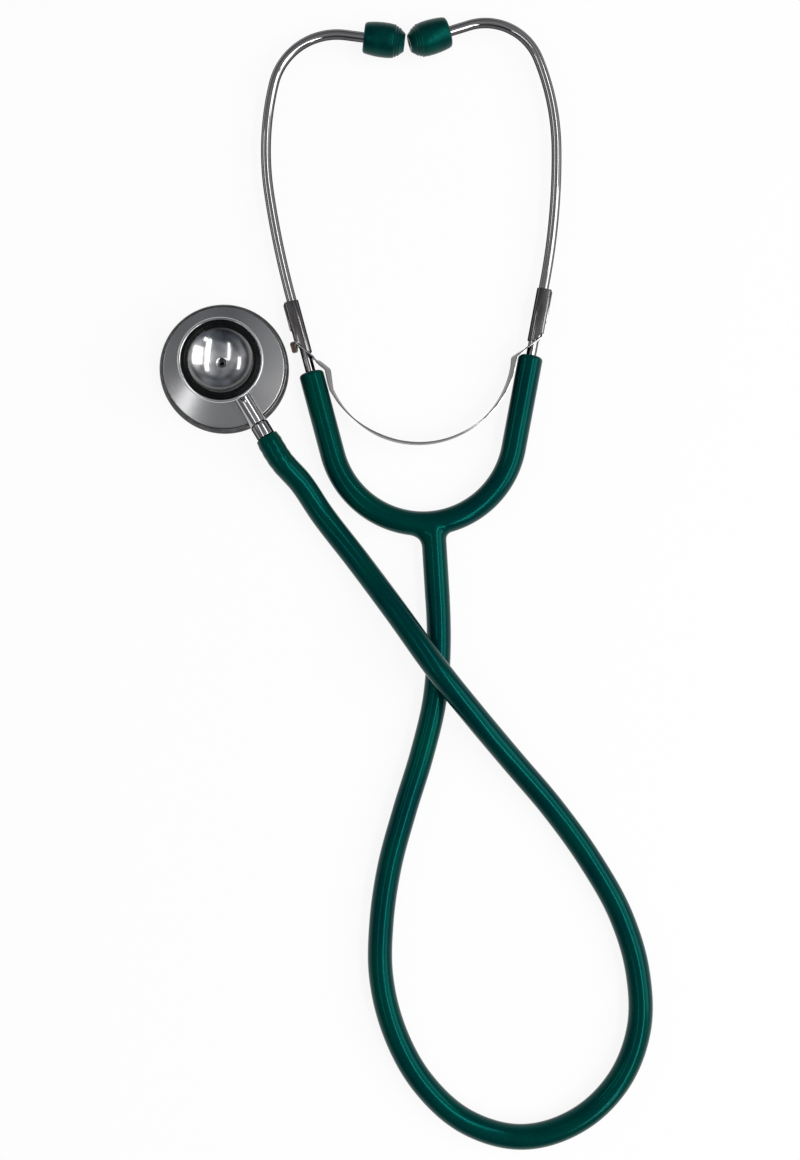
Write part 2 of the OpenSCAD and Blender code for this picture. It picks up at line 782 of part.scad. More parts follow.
module bell_ring() {
    outer = bell_ring_d / 2;
    round_r = 0.5;
    color(black)
        rotate_extrude($fn = 120)
            polygon(concat([[bell_in_r, ring_seat_z], [outer, ring_seat_z]],
                arc_points([outer - round_r, chest_h - round_r], round_r, 0, 90, 4),
                arc_points([bell_in_r + round_r, chest_h - round_r], round_r, 90, 180, 4)));
}

module diaphragm() {
    flat_r = disc_flat_d / 2;
    rise_w = 0.35 * disc_step_w;
    under = [for (k = [0 : 2])
        each [[flat_r + k * disc_step_w, k * disc_step_h],
            [flat_r + k * disc_step_w + rise_w, (k + 1) * disc_step_h]]];
    line = concat([[0, 0]], under, [[edge_r - 0.1, lip_top]]);
    color([0.9, 0.9, 0.88])
        rotate_extrude($fn = 120)
            polygon(concat(line,
                [for (i = [len(line) - 1 : -1 : 0]) line[i] + [0, disc_t]]));
}

module diaphragm_washer() {
    color(black)
        translate([0, 0, washer_z])
            difference() {
                cylinder(h = washer_t, r = edge_r - 0.1, $fn = 120);
                translate([0, 0, -1])
                    cylinder(h = washer_t + 2, r = edge_r - 0.1 - washer_w, $fn = 120);
            }
}

module diaphragm_ring() {
    r = rim_d / 2;
    roll_r = 1.4;
    top_round = 0.6;
    low = lip_top - lip_t;
    color(chrome)
        rotate_extrude($fn = 160)
            polygon(concat([[lip_d / 2, lip_top], [lip_d / 2, lip_top - lip_t / 2],
                [lip_d / 2 + lip_t / 2, low]],
                arc_points([r - roll_r, low + roll_r], roll_r, -90, 0, 6),
                arc_points([r - top_round, ring_top - top_round], top_round, 0, 90, 4),
                [[edge_r + ring_fit, ring_top], [edge_r + ring_fit, lip_top]]));
}

// Puts a child in the detent's hole, with +Z out of it
module in_detent(at) {
    on_stem()
        translate([detent_s, -at, 0])
            rotate([90, 0, 0])
                children();
}

module detent_ball() {
    color(steel)
        in_detent(ball_at)
            sphere(r = ball_d / 2, $fn = 32);
}

module detent_spring() {
    color(steel)
        in_detent(spring_at)
            difference() {
                cylinder(h = spring_l, r = ball_d / 2 - 0.05);
                translate([0, 0, -1])
                    cylinder(h = spring_l + 2, r = ball_d / 4);
            }
}

module detent_screw() {
    color(steel)
        in_detent(screw_at)
            difference() {
                cylinder(h = screw_l, r = ball_d / 2 + 0.03);
                translate([0, 0, screw_l / 2])
                    cylinder(h = screw_l, r = ball_d / 4, $fn = 6);
            }
}

left_ear_tip();
right_ear_tip();
left_ear_tube();
right_ear_tube();
left_spring_sleeve();
right_spring_sleeve();
leaf_spring();
yoke_tubing();
hose();
stem();
stem_seal();
stem_clip();
chest_body();
bell_cup();
bell_ring();
diaphragm();
diaphragm_washer();
diaphragm_ring();
detent_ball();
detent_spring();
detent_screw();
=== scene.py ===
# Dual-head stethoscope: the visible pieces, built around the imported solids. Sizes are
# millimetres, as in the source.
import math

import bmesh
import bpy
import numpy as np
from mathutils import Matrix, Vector


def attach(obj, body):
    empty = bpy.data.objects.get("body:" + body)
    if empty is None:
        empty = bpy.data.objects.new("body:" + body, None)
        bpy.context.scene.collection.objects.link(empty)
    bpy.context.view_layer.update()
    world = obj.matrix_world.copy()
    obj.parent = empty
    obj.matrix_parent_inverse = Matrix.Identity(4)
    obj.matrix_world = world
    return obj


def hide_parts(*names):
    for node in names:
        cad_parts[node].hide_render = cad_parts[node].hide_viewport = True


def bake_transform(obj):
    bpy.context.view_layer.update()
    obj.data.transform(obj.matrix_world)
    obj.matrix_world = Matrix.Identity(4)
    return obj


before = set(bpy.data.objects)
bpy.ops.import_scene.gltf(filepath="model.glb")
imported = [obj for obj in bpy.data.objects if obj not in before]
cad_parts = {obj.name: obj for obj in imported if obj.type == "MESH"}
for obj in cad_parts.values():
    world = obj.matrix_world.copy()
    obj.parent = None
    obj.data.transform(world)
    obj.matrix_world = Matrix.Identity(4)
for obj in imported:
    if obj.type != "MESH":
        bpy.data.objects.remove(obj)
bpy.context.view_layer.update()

MM = 0.001
TAU = 2 * math.pi

# Camera: place in metres, turns about X, Y and Z in degrees, focal length in photo pixels
PHOTO_H = 1160
CAM_AT = (0.0393, -0.0919, 0.5525)
CAM_TURNS = (1.47, -2.67, 0.08)
CAM_F = 1486.0
SENSOR = 36

cam_data = bpy.data.cameras.new("camera")
cam = bpy.data.objects.new("camera", cam_data)
bpy.context.scene.collection.objects.link(cam)
# the sensor's width lies along the picture's longer side, which is its height
cam_data.sensor_width = SENSOR
cam_data.lens = SENSOR * CAM_F / PHOTO_H
cam_data.clip_start = 0.01
cam_data.clip_end = 10
tilt, pan, roll = (Matrix.Rotation(math.radians(a), 4, axis) for a, axis in zip(CAM_TURNS, "XYZ"))
cam.matrix_world = Matrix.Translation(CAM_AT) @ (tilt @ pan @ roll)
bpy.context.scene.camera = cam
bpy.context.scene.view_settings.view_transform = "Standard"


# Geometry helpers
def mm(*p):
    return Vector([c * MM for c in p])


def xy(x, y):
    return Vector((x, y, 0))


def share(x):
    """x, kept between 0 and 1."""
    return max(0.0, min(1.0, x))


def lengths_along(points):
    """Length of the line through the points, up to each of them."""
    out = [0.0]
    for p, q in zip(points, points[1:]):
        out.append(out[-1] + (q - p).length)
    return out


def nearest(points, place):
    return min(range(len(points)), key=lambda i: (points[i] - place).length)


def smooth_faces(obj):
    obj.data.polygons.foreach_set("use_smooth", [True] * len(obj.data.polygons))


def add_mesh(name, verts, faces, smooth=True):
    mesh = bpy.data.meshes.new(name)
    mesh.from_pydata([tuple(v) for v in verts], [], faces)
    mesh.update()
    obj = bpy.data.objects.new(name, mesh)
    if smooth:
        smooth_faces(obj)
    bpy.context.scene.collection.objects.link(obj)
    return obj


def fix_normals(obj):
    bm = bmesh.new()
    bm.from_mesh(obj.data)
    bmesh.ops.recalc_face_normals(bm, faces=bm.faces)
    bm.to_mesh(obj.data)
    bm.free()
    obj.data.update()
    return obj


def hermite(points, first, last, per_span):
    """Smooth curve through the points, with end directions; chord-length Catmull-Rom tangents."""
    spans = [q - p for p, q in zip(points, points[1:])]
    tangents = [first.normalized()]
    for a, b in zip(spans, spans[1:]):
        tangents.append((a.normalized() * b.length + b.normalized() * a.length).normalized())
    tangents.append(last.normalized())
    out = []
    for i, span in enumerate(spans):
        p, q = points[i], points[i + 1]
        m0, m1 = tangents[i] * span.length, tangents[i + 1] * span.length
        for k in range(per_span):
            t = k / per_span
            out.append(p * (2 * t**3 - 3 * t**2 + 1) + m0 * (t**3 - 2 * t**2 + t)
                       + q * (-2 * t**3 + 3 * t**2) + m1 * (t**3 - t**2))
    out.append(points[-1].copy())
    return out


def frames_along(points, first=None, last=None):
    """Side and up at each point, turned as little as possible."""
    end = len(points) - 1
    tangents = [(points[min(i + 1, end)] - points[max(i - 1, 0)]).normalized()
                for i in range(len(points))]
    if first is not None:
        tangents[0] = first.normalized()
    if last is not None:
        tangents[-1] = last.normalized()
    side = tangents[0].cross(Vector((0, 0, 1))).normalized()
    out = []
    for t in tangents:
        side = (side - t * side.dot(t)).normalized()
        out.append((side, side.cross(t)))
    return out


def tube(name, points, radii, sides, first=None, last=None, bore=None):
    """Tube along points, with one radius a point. It is solid, or has a bore of that radius."""
    rings = frames_along(points, first, last)
    verts, faces = [], []

    def shell(shell_radii, inward):
        base = len(verts)
        for p, r, (s, u) in zip(points, shell_radii, rings):
            for k in range(sides):
                a = TAU * k / sides
                verts.append(p + r * (math.cos(a) * s + math.sin(a) * u))
        for i in range(len(points) - 1):
            for k in range(sides):
                a = base + i * sides + k
                b = base + i * sides + (k + 1) % sides
                face = (a, b, b + sides, a + sides)
                faces.append(face[::-1] if inward else face)
        return base

    outer = shell(radii, False)
    last_ring = (len(points) - 1) * sides
    if bore is None:
        faces.append(tuple(outer + k for k in reversed(range(sides))))
        faces.append(tuple(outer + last_ring + k for k in range(sides)))
    else:
        inner = shell([bore] * len(points), True)
        for k in range(sides):
            j = (k + 1) % sides
            faces.append((outer + j, outer + k, inner + k, inner + j))
            faces.append((outer + last_ring + k, outer + last_ring + j,
                          inner + last_ring + j, inner + last_ring + k))
    return fix_normals(add_mesh(name, verts, faces))


def lathe(name, profile, steps, closed=False, at=None, unit=MM, groove=None):
    """Turns (radius, height) points round +Z. Points at radius 0 become one vertex.

    groove gives the depth to cut at a radius, a height and an angle.
    """
    verts, faces, rows = [], [], []
    for r, z in profile:
        angles = [TAU * k / steps for k in range(steps if r > 0 else 1)]
        rows.append(range(len(verts), len(verts) + len(angles)))
        for a in angles:
            depth = groove(r, z, a) if groove else 0
            around = (r - depth) * unit
            verts.append(Vector((around * math.cos(a), around * math.sin(a), z * unit)))
    pairs = list(zip(rows, rows[1:]))
    if closed:
        pairs.append((rows[-1], rows[0]))
    for a, b in pairs:
        for k in range(steps):
            j = (k + 1) % steps
            if len(a) == 1 and len(b) == 1:
                continue
            if len(a) == 1:
                faces.append((a[0], b[j], b[k]))
            elif len(b) == 1:
                faces.append((a[k], a[j], b[0]))
            else:
                faces.append((a[k], a[j], b[j], b[k]))
    if at is not None:
        verts = [at @ v for v in verts]
    return fix_normals(add_mesh(name, verts, faces))


def rod(r, z0, z1, steps, at=None, unit=MM):
    """Plain cylinder, mostly for a hole."""
    return lathe("rod", [(0, z0), (r, z0), (r, z1), (0, z1)], steps, at=at, unit=unit)


def slab(outline, z0, z1, at):
    """Extruded outline, in mm, in the given frame."""
    n = len(outline)
    verts = [at @ Vector((x, y, z0)) for x, y in outline]
    verts += [at @ Vector((x, y, z1)) for x, y in outline]
    faces = [tuple(range(n - 1, -1, -1)), tuple(range(n, 2 * n))]
    faces += [(k, (k + 1) % n, n + (k + 1) % n, n + k) for k in range(n)]
    return fix_normals(add_mesh("slab", verts, faces))


def block(x0, x1, y0, y1, z0, z1, at):
    return slab([(x0, y0), (x1, y0), (x1, y1), (x0, y1)], z0, z1, at)


def rounded(profile, radii, steps):
    """Rounds the inner corners of a profile, each with its own radius."""
    out = [tuple(profile[0])]
    for i in range(1, len(profile) - 1):
        a, b, c = (xy(*profile[j]) for j in (i - 1, i, i + 1))
        u, v = a - b, c - b
        un, vn = u.normalized(), v.normalized()
        angle = un.angle(vn) if radii[i] > 0 else 0
        if not 0.02 <= angle <= math.pi - 0.02:
            out.append(tuple(profile[i]))
            continue
        cut = min(radii[i] / math.tan(angle / 2), 0.49 * u.length, 0.49 * v.length)
        r = cut * math.tan(angle / 2)
        centre = b + (un + vn).normalized() * (r / math.sin(angle / 2))
        p0, p1 = b + un * cut, b + vn * cut
        a0 = math.atan2(p0.y - centre.y, p0.x - centre.x)
        a1 = math.atan2(p1.y - centre.y, p1.x - centre.x)
        turn = (a1 - a0 + math.pi) % TAU - math.pi
        for k in range(steps + 1):
            w = a0 + turn * k / steps
            out.append((centre.x + r * math.cos(w), centre.y + r * math.sin(w)))
    out.append(tuple(profile[-1]))
    return out


def arc(cx, cy, r, a0, a1, n):
    """Points on an arc, from angle a0 to a1 in degrees, in n steps."""
    angles = [math.radians(a0 + (a1 - a0) * k / n) for k in range(n + 1)]
    return [(cx + r * math.cos(a), cy + r * math.sin(a)) for a in angles]


def arc_points(centre, r, a0, a1, n):
    return [centre + r * xy(*p) for p in arc(0, 0, 1, a0, a1, n)]


def mat_axis(origin, direction):
    """Matrix that puts +Z along direction, from origin."""
    z = Vector(direction).normalized()
    x = Vector((0, 0, 1)).cross(z).normalized()
    m = Matrix((x, z.cross(x), z)).transposed().to_4x4()
    m.translation = origin
    return m


def sharpen(obj, degrees):
    obj.data.set_sharp_from_angle(angle=math.radians(degrees))
    return obj


def apply_modifiers(obj):
    graph = bpy.context.evaluated_depsgraph_get()
    mesh = bpy.data.meshes.new_from_object(obj.evaluated_get(graph))
    obj.modifiers.clear()
    obj.data = mesh


def boolean(obj, cutter, operation="DIFFERENCE"):
    bpy.context.view_layer.update()
    mod = obj.modifiers.new("cut", "BOOLEAN")
    mod.operation = operation
    mod.solver = "EXACT"
    mod.object = cutter
    apply_modifiers(obj)
    bpy.data.objects.remove(cutter)


def bevel(obj, width):
    mod = obj.modifiers.new("bevel", "BEVEL")
    mod.width = width
    mod.segments = 2
    mod.limit_method = "ANGLE"
    mod.angle_limit = math.radians(50)
    mod.harden_normals = False
    apply_modifiers(obj)


# Sizes, as in the source
STEM_Z = 11
STEM_AZ = math.radians(-58.5)
STEM_DIR = Vector((math.cos(STEM_AZ), math.sin(STEM_AZ), 0))
BOSS_R, BOSS_L = 3.15, 24.8
COLLAR_GAP, COLLAR_L = 0.1, 5.5
HOSE_FROM_AXIS = BOSS_L + COLLAR_GAP + COLLAR_L
NECK_R, NECK_TOP = 7.5, 15.6
SOUND_R = 0.95
TUBE_R, TUBE_BORE_R, TUBE_INSERT = 1.85, 1.35, 15
LEG_R, HOSE_R = 4.6, 4.5
U_CENTRE, U_R = xy(73.2, -22.6), 34.4
STUB_AT, STUB_LEAN, STUB_L = math.radians(6.4), math.radians(3.5), 28.2
STUB_DIR = xy(math.sin(STUB_LEAN), -math.cos(STUB_LEAN))
STUB_FROM = U_CENTRE + U_R * xy(math.sin(STUB_AT), -math.cos(STUB_AT))
STUB_END = STUB_FROM + STUB_L * STUB_DIR
TIP_L, TIP_HOLD, TIP_R = 15.3, 9, 6.22
STRIP_T, STRIP_W, TAB_W = 0.5, 6.5, 4.0
TAB_OUT = TUBE_R + 0.05 + STRIP_T / 2
KNEE_OUT = TAB_OUT + 0.35
LUG_OUT, LUG_UP = 3.7, 10.4


class Side:
    """Left or right leg, ear tube, sleeve and end of the strip.

    arm is the body that the sleeve rides on. In the side's frame X points away from the other
    leg, Y points up this one, and the leg's top is at 0.
    """

    def __init__(self, name, sign, arm, lean, leg_l, runs, reach, cross, bend, sleeve_top):
        self.name, self.arm, self.leg_l, self.sleeve_top = name, arm, leg_l, sleeve_top
        lean = math.radians(lean)
        self.up = xy(sign * math.sin(lean), math.cos(lean))
        self.out = xy(sign * math.cos(lean), -math.sin(lean))
        self.foot = U_CENTRE + U_R * self.out
        self.top = self.foot + leg_l * self.up
        self.frame = Matrix((self.out, self.up, (0, 0, 1))).transposed().to_4x4()
        self.frame.translation = self.top
        self.heading = math.pi / 2 - sign * lean
        # the ear tube's straights and bends, each a length or a radius, and a turn in degrees
        self.runs = runs + [(reach + TIP_HOLD, 0)]
        # the strip comes down the tube, crosses it at the knee, and turns into its arc at the bend
        self.cross = math.radians(cross)
        self.bend = bend
        self.knee = (KNEE_OUT, bend[1] + (KNEE_OUT - bend[0]) / math.tan(self.cross))


LEFT = Side("left", -1, "root", lean=15, leg_l=31.3,
            runs=[(44, 0), (350, -6.4), (107, -21.9), (24.4, -83.1)], reach=6.786,
            cross=36.4, bend=(-6.3, -0.5), sleeve_top=27.0)
RIGHT = Side("right", 1, "right_arm", lean=10.7, leg_l=35.0,
             runs=[(43.4, 0), (254, 11.3), (91, 21.7), (21, 85.9)], reach=7.997,
             cross=43.7, bend=(-6.0, -1.5), sleeve_top=25.4)
SIDES = (LEFT, RIGHT)

# the plane of yoke and ear tubes rises a little from the stub's end to the tubes
TILT = math.radians(0.49723)
FLAT = (Matrix.Translation((0, STUB_END.y, LEG_R)) @ Matrix.Rotation(TILT, 4, "X")
        @ Matrix.Translation((0, -STUB_END.y, 0)))


def flat(p):
    """A point of that plane, given in mm, in metres in the part's frame."""
    return (FLAT @ Vector(p)) * MM


def flat_dir(d):
    return (FLAT.to_3x3() @ Vector(d)).normalized()


# Materials. Noise scales count features in a metre.
class Nodes:
    """Short names for the nodes of one tree. A value is a socket or a plain number."""

    def __init__(self, tree):
        self.tree = tree

    def new(self, kind):
        return self.tree.nodes.new("ShaderNode" + kind)

    def link(self, value, socket):
        self.tree.links.new(value, socket)

    def coords(self, kind="Object"):
        return self.new("TexCoord").outputs[kind]

    def noise(self, vector, scale, detail, rough=0.5, dims="3D"):
        node = self.new("TexNoise")
        node.noise_dimensions = dims
        node.inputs["Scale"].default_value = scale
        node.inputs["Detail"].default_value = detail
        node.inputs["Roughness"].default_value = rough
        self.link(vector, node.inputs["W" if dims == "1D" else "Vector"])
        return node.outputs["Fac"]

    def ramp(self, fac, stops):
        """Colour ramp. A stop is a place and a colour or a grey."""
        node = self.new("ValToRGB")
        elements = node.color_ramp.elements
        while len(elements) < len(stops):
            elements.new(0.5)
        for element, (place, colour) in zip(elements, stops):
            rgb = colour if isinstance(colour, tuple) else (colour,) * 3
            element.position = place
            element.color = (*rgb, 1)
        self.link(fac, node.inputs["Fac"])
        return node.outputs["Color"]

    def grey(self, fac, lo, hi, start=0.3, end=0.7):
        return self.ramp(fac, [(start, lo), (end, hi)])

    def math(self, op, a, b=None, clamp=False):
        node = self.new("Math")
        node.operation = op
        node.use_clamp = clamp
        for socket, value in zip(node.inputs, (a, b)):
            if isinstance(value, (int, float)):
                socket.default_value = value
            elif value is not None:
                self.link(value, socket)
        return node.outputs[0]

    def add(self, a, b, clamp=False):
        return self.math("ADD", a, b, clamp)

    def sub(self, a, b):
        return self.math("SUBTRACT", a, b)

    def mul(self, a, b, clamp=False):
        return self.math("MULTIPLY", a, b, clamp)

    def hypot(self, a, b):
        return self.math("SQRT", self.add(self.mul(a, a), self.mul(b, b)))

    def blend(self, a, b, part):
        """That part of a, and the rest of b."""
        return self.add(self.mul(a, part), self.mul(b, 1 - part))

    def half(self, value):
        """From a value of -1 to 1 to one of 0 to 1."""
        return self.add(self.mul(value, 0.5), 0.5)

    def xyz(self, vector):
        node = self.new("SeparateXYZ")
        self.link(vector, node.inputs[0])
        return node.outputs

    def mix(self, fac, a, colour):
        node = self.new("Mix")
        node.data_type = "RGBA"
        self.link(fac, node.inputs["Factor"])
        self.link(a, node.inputs[6])
        node.inputs[7].default_value = (*colour, 1)
        return node.outputs[2]

    def product(self, a, b):
        node = self.new("Mix")
        node.data_type = "RGBA"
        node.blend_type = "MULTIPLY"
        node.inputs["Factor"].default_value = 1
        self.link(a, node.inputs[6])
        self.link(b, node.inputs[7])
        return node.outputs[2]


class Surface(Nodes):
    """A new material and its Principled shader."""

    def __init__(self, name):
        self.material = bpy.data.materials.new(name)
        self.material.use_nodes = True
        super().__init__(self.material.node_tree)
        self.shader = next(n for n in self.tree.nodes if n.type == "BSDF_PRINCIPLED")

    def set(self, name, value):
        """Gives the shader's socket a link, or a value that is the same all over."""
        socket = self.shader.inputs[name]
        if isinstance(value, bpy.types.NodeSocket):
            self.link(value, socket)
        else:
            socket.default_value = value

    def bump(self, height, strength, distance):
        node = self.new("Bump")
        node.inputs["Strength"].default_value = strength
        node.inputs["Distance"].default_value = distance
        self.link(height, node.inputs["Height"])
        self.set("Normal", node.outputs["Normal"])


def rubber_material():
    """Smooth extruded tubing: dark green, a little uneven, with a fine grain."""
    s = Surface("green_tubing")
    c = s.coords()
    mixed = s.blend(s.noise(c, 45, 3), s.noise(c, 1500, 2), 0.65)
    s.set("Base Color", s.ramp(mixed, [(0.3, (0.0, 0.014, 0.019)), (0.52, (0.0, 0.026, 0.023)),
                                       (0.75, (0.0, 0.038, 0.022))]))
    s.set("Roughness", s.grey(s.noise(c, 60, 2), 0.14, 0.18))
    s.set("IOR", 1.32)
    s.set("Specular Tint", (0.02, 0.95, 0.82, 1))
    s.bump(s.noise(c, 40, 0), 0.1, 0.0002)
    return s.material


def tip_material():
    """Hard moulded ear tips: the same green, duller, with a fine pitted skin."""
    s = Surface("green_tip")
    c = s.coords()
    s.set("Base Color", s.ramp(s.noise(c, 120, 3), [
        (0.3, (0.0, 0.010, 0.013)), (0.5, (0.0, 0.020, 0.018)), (0.72, (0.0, 0.034, 0.026))]))
    s.set("Roughness", s.grey(s.noise(c, 700, 4), 0.28, 0.4))
    s.set("IOR", 1.36)
    s.set("Specular Tint", (0.03, 0.95, 0.78, 1))
    s.bump(s.noise(c, 900, 3), 0.2, 0.00005)
    return s.material


def chrome_material(name, tone, rough, scratch, warm=0.0, edge=0.0, flank_shade=0.3, lug=None):
    """Plated metal: tone varies a little, with fine handling scratches in the roughness, and
    painted shade on its flanks.
    """
    s = Surface(name)
    c = s.coords()
    s.set("Metallic", 1)
    s.set("Specular Tint", (edge, edge, edge, 1))
    low = tone * 0.86
    colour = s.ramp(s.noise(c, 80, 4), [(0.3, (low + warm, low, low * 0.98)),
                                        (0.7, (tone, tone, tone * 1.02))])
    # painted shade: the flanks of the tubes and sheets, where the normal turns away from up, are
    # painted darker than their tops
    _, _, up = s.xyz(s.coords("Normal"))
    colour = s.product(colour, s.grey(s.math("ABSOLUTE", up), flank_shade, 1.0, 0.5, 0.8))
    if lug is not None:
        # a brown lug, 2.1 mm all round that place
        away = s.new("VectorMath")
        away.operation = "DISTANCE"
        s.link(c, away.inputs[0])
        away.inputs[1].default_value = lug
        near = s.mul(s.sub(0.0021, away.outputs["Value"]), 3000, clamp=True)
        colour = s.mix(near, colour, (0.14, 0.105, 0.085))
    s.set("Base Color", colour)
    fine = s.noise(c, 1400, 6, 0.7)
    s.set("Roughness", s.grey(fine, *rough, 0.35, 0.75))
    s.bump(fine, scratch, 0.00002)
    return s.material


def turned_material(name, tone, rough, rings, aniso, boss=False):
    """Metal turned on a lathe: concentric tool marks round the chest piece's axis."""
    s = Surface(name)
    c = s.coords()
    x, y, z = s.xyz(c)
    s.set("Metallic", 1)
    marks = s.noise(s.hypot(x, y), 9000, 3, 0.7, "1D")
    shade = s.grey(s.blend(marks, s.noise(c, 60, 3), 0.2), tone * 0.9, tone * 1.03)
    roughness = s.grey(marks, *rough)
    if boss:
        # the boss round the stem is polished, the dish and neck are not
        along = s.add(s.mul(x, STEM_DIR.x), s.mul(y, STEM_DIR.y))
        off = s.sub(s.mul(x, STEM_DIR.y), s.mul(y, STEM_DIR.x))
        away = s.hypot(off, s.sub(z, STEM_Z * MM))
        near = s.mul(s.sub((BOSS_R + 0.1) * MM, away), 9000, clamp=True)
        past_neck = s.mul(s.sub(along, (NECK_R + 0.3) * MM), 4000, clamp=True)
        polished = s.mul(near, past_neck)
        shade = s.mix(polished, shade, (0.42, 0.42, 0.425))
        roughness = s.mix(polished, roughness, (0.09, 0.09, 0.09))
    s.set("Base Color", shade)
    s.set("Roughness", roughness)
    s.set("Anisotropic", aniso)
    round_axis = s.new("Tangent")
    round_axis.direction_type = "RADIAL"
    round_axis.axis = "Z"
    s.set("Tangent", round_axis.outputs[0])
    s.bump(marks, rings, 0.00001)
    return s.material


def rim_material():
    """Chrome, with the knurled band round the outside rougher and its colour painted dark, as dirt
    and as painted shade in its grooves.
    """
    s = Surface("rim_chrome")
    c = s.coords()
    _, _, z = s.xyz(c)
    s.set("Metallic", 1)
    s.set("Specular Tint", (0.3, 0.3, 0.3, 1))
    band = s.mul(s.sub(z, 0.0018), 1500, clamp=True)
    dirt_and_shade = s.noise(c, 500, 4)
    # the knurled band is painted dark: uneven dirt, and painted shade standing for the shade in its
    # grooves
    s.set("Base Color", s.ramp(s.mul(band, s.add(dirt_and_shade, 0.45), clamp=True), [
        (0.0, (0.55, 0.55, 0.56)), (0.6, 0.22), (1.0, 0.10)]))
    s.set("Roughness", s.grey(band, 0.07, 0.26, 0, 1))
    s.bump(dirt_and_shade, 0.1, 0.00002)
    return s.material


def ring_rubber_material():
    """Black rubber with a dull, slightly uneven skin."""
    s = Surface("black_rubber")
    c = s.coords()
    s.set("Base Color", s.ramp(s.noise(c, 300, 3), [(0.3, (0.001, 0.0015, 0.0015)),
                                                    (0.7, (0.004, 0.005, 0.005))]))
    s.set("Specular IOR Level", 0.12)
    s.set("Roughness", s.grey(s.noise(c, 900, 3), 0.2, 0.3))
    s.bump(s.noise(c, 1500, 3), 0.2, 0.00004)
    return s.material


def membrane_material():
    """Resin disc with a fine woven glass cloth in it, and painted shade and a painted highlight in
    rings round its steps.
    """
    s = Surface("membrane")
    c = s.coords()
    x, y, _ = s.xyz(c)
    threads = TAU / 0.00052
    weave = s.half(s.mul(s.math("SINE", s.mul(x, threads)), s.math("SINE", s.mul(y, threads))))
    cloth = s.ramp(s.blend(weave, s.noise(c, 70, 4), 0.5), [(0.25, (0.50, 0.51, 0.51)),
                                                            (0.75, (0.76, 0.76, 0.75))])
    # painted shade darkens rings at the steps' corners, and a painted highlight lightens one ring
    # a radius of 0 to 20 mm makes 0 to 1
    step_shade_and_highlight = s.ramp(s.mul(s.hypot(x, y), 50.0), [
        (0.835, 1), (0.868, 0.62), (0.884, 0.68), (0.892, 1.15), (0.905, 1), (0.914, 0.36),
        (0.934, 0.36), (0.955, 1)])
    s.set("Base Color", s.product(cloth, step_shade_and_highlight))
    s.set("Roughness", s.grey(weave, 0.28, 0.42))
    s.bump(weave, 0.5, 0.00004)
    return s.material


# each look is a material, and the record's slot that it takes its finish from
LOOKS = {
    "tubing": (rubber_material(), "green_tubing"),
    "tip": (tip_material(), "green_tip"),
    "tube": (chrome_material("ear_tube_chrome", 0.37, (0.03, 0.07), 0.04, 0.015), "chrome"),
    "chrome": (chrome_material("chrome", 0.39, (0.03, 0.08), 0.03), "chrome"),
    "spring": (chrome_material("spring_steel", 0.30, (0.14, 0.24), 0.08, 0.02, 0.5, 1.0,
                               flat(LEFT.top + LEFT.out * LUG_OUT + LEFT.up * LUG_UP)),
               "spring_steel"),
    "satin": (turned_material("satin_turned", 0.32, (0.16, 0.21), 0.08, 0.5, boss=True), "satin"),
    "bowl": (turned_material("polished_bowl", 0.5, (0.12, 0.17), 0.03, 0.15), "chrome"),
    "sleeve": (chrome_material("sleeve_steel", 0.17, (0.1, 0.18), 0.06, 0.015), "spring_steel"),
    "rim": (rim_material(), "chrome"),
    "rubber": (ring_rubber_material(), "black_rubber"),
    "membrane": (membrane_material(), "membrane"),
}


def dress(obj, look, node=None, body=None):
    """Gives a piece its look and the body that it rides on, and hides the solid that it stands for.
    """
    material, slot = LOOKS[look]
    obj.data.materials.clear()
    obj.data.materials.append(material)
    if body:
        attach(obj, body)
    if node:
        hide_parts(node)


# Hose
HOSE_ROUTE = [
    (79.2, -101.6, 0), (77.7, -121.9, 0), (72.9, -142.3, 0), (66.6, -162.6, 0),
    (61, -183.3, 0), (58.1, -203.3, 0), (57.9, -222.6, 0), (62.9, -243.3, 0),
    (73.6, -262.5, 0), (89.5, -276.6, 0), (110.3, -282.3, 0), (131, -276.2, 0),
    (145.8, -262.1, 0), (153.2, -243.3, 0), (152.8, -222.6, 0), (146.5, -201.5, 0),
    (135.2, -181.3, 0), (121.2, -161.9, 0.2), (106.3, -144.5, 2.5), (91.5, -127.1, 6.9),
    (77.4, -109.7, 9.5), (63.2, -89.7, 5.7), (49, -70.4, 1.2), (35.9, -53.4, 0.6),
    (28.1, -42, 3.1), (21.2, -34.5, 5.9)]
hose_start = mm(STUB_END.x, STUB_END.y, LEG_R)
hose_end = mm(*(STEM_DIR * HOSE_FROM_AXIS + Vector((0, 0, STEM_Z))))
hose_way = [hose_start] + [mm(x, y, HOSE_R + z) for x, y, z in HOSE_ROUTE] + [hose_end]
hose_line = hermite(hose_way, flat_dir(STUB_DIR), -STEM_DIR, 12)
# the hose runs a little way into the yoke's stub, of which it is one moulding
hose_line.insert(0, hose_start - flat_dir(STUB_DIR) * 2 * MM)
hose_lengths = lengths_along(hose_line)
HOSE_LENGTH = hose_lengths[-1]

# Rings near the stem end, for the swell over the nipple's barbs. Lengths are from that end.
END_L = 18.5
END_RINGS = [0, 0.12, 0.35, 0.7, 1.2, 1.8, 2.6, 3.4, 4.2, 5, 5.8, 6.6, 7.4, 8.2, 9, 9.8, 10.6,
             11.4, 12.4, 13.6, 15, 17]
MOUTH_R, MOUTH_ROUND, MOUTH_ROUND_L, MOUTH_L = 4.0, 0.24, 0.6, 2.6
SWELL, BARB_PITCH, SWELL_TO, SWELL_FADE = 0.06, 3.2, 15, 4
# at the other end the hose grows to just under the stub's radius
STUB_BLEND_L, STUB_R = 12, LEG_R - 0.008


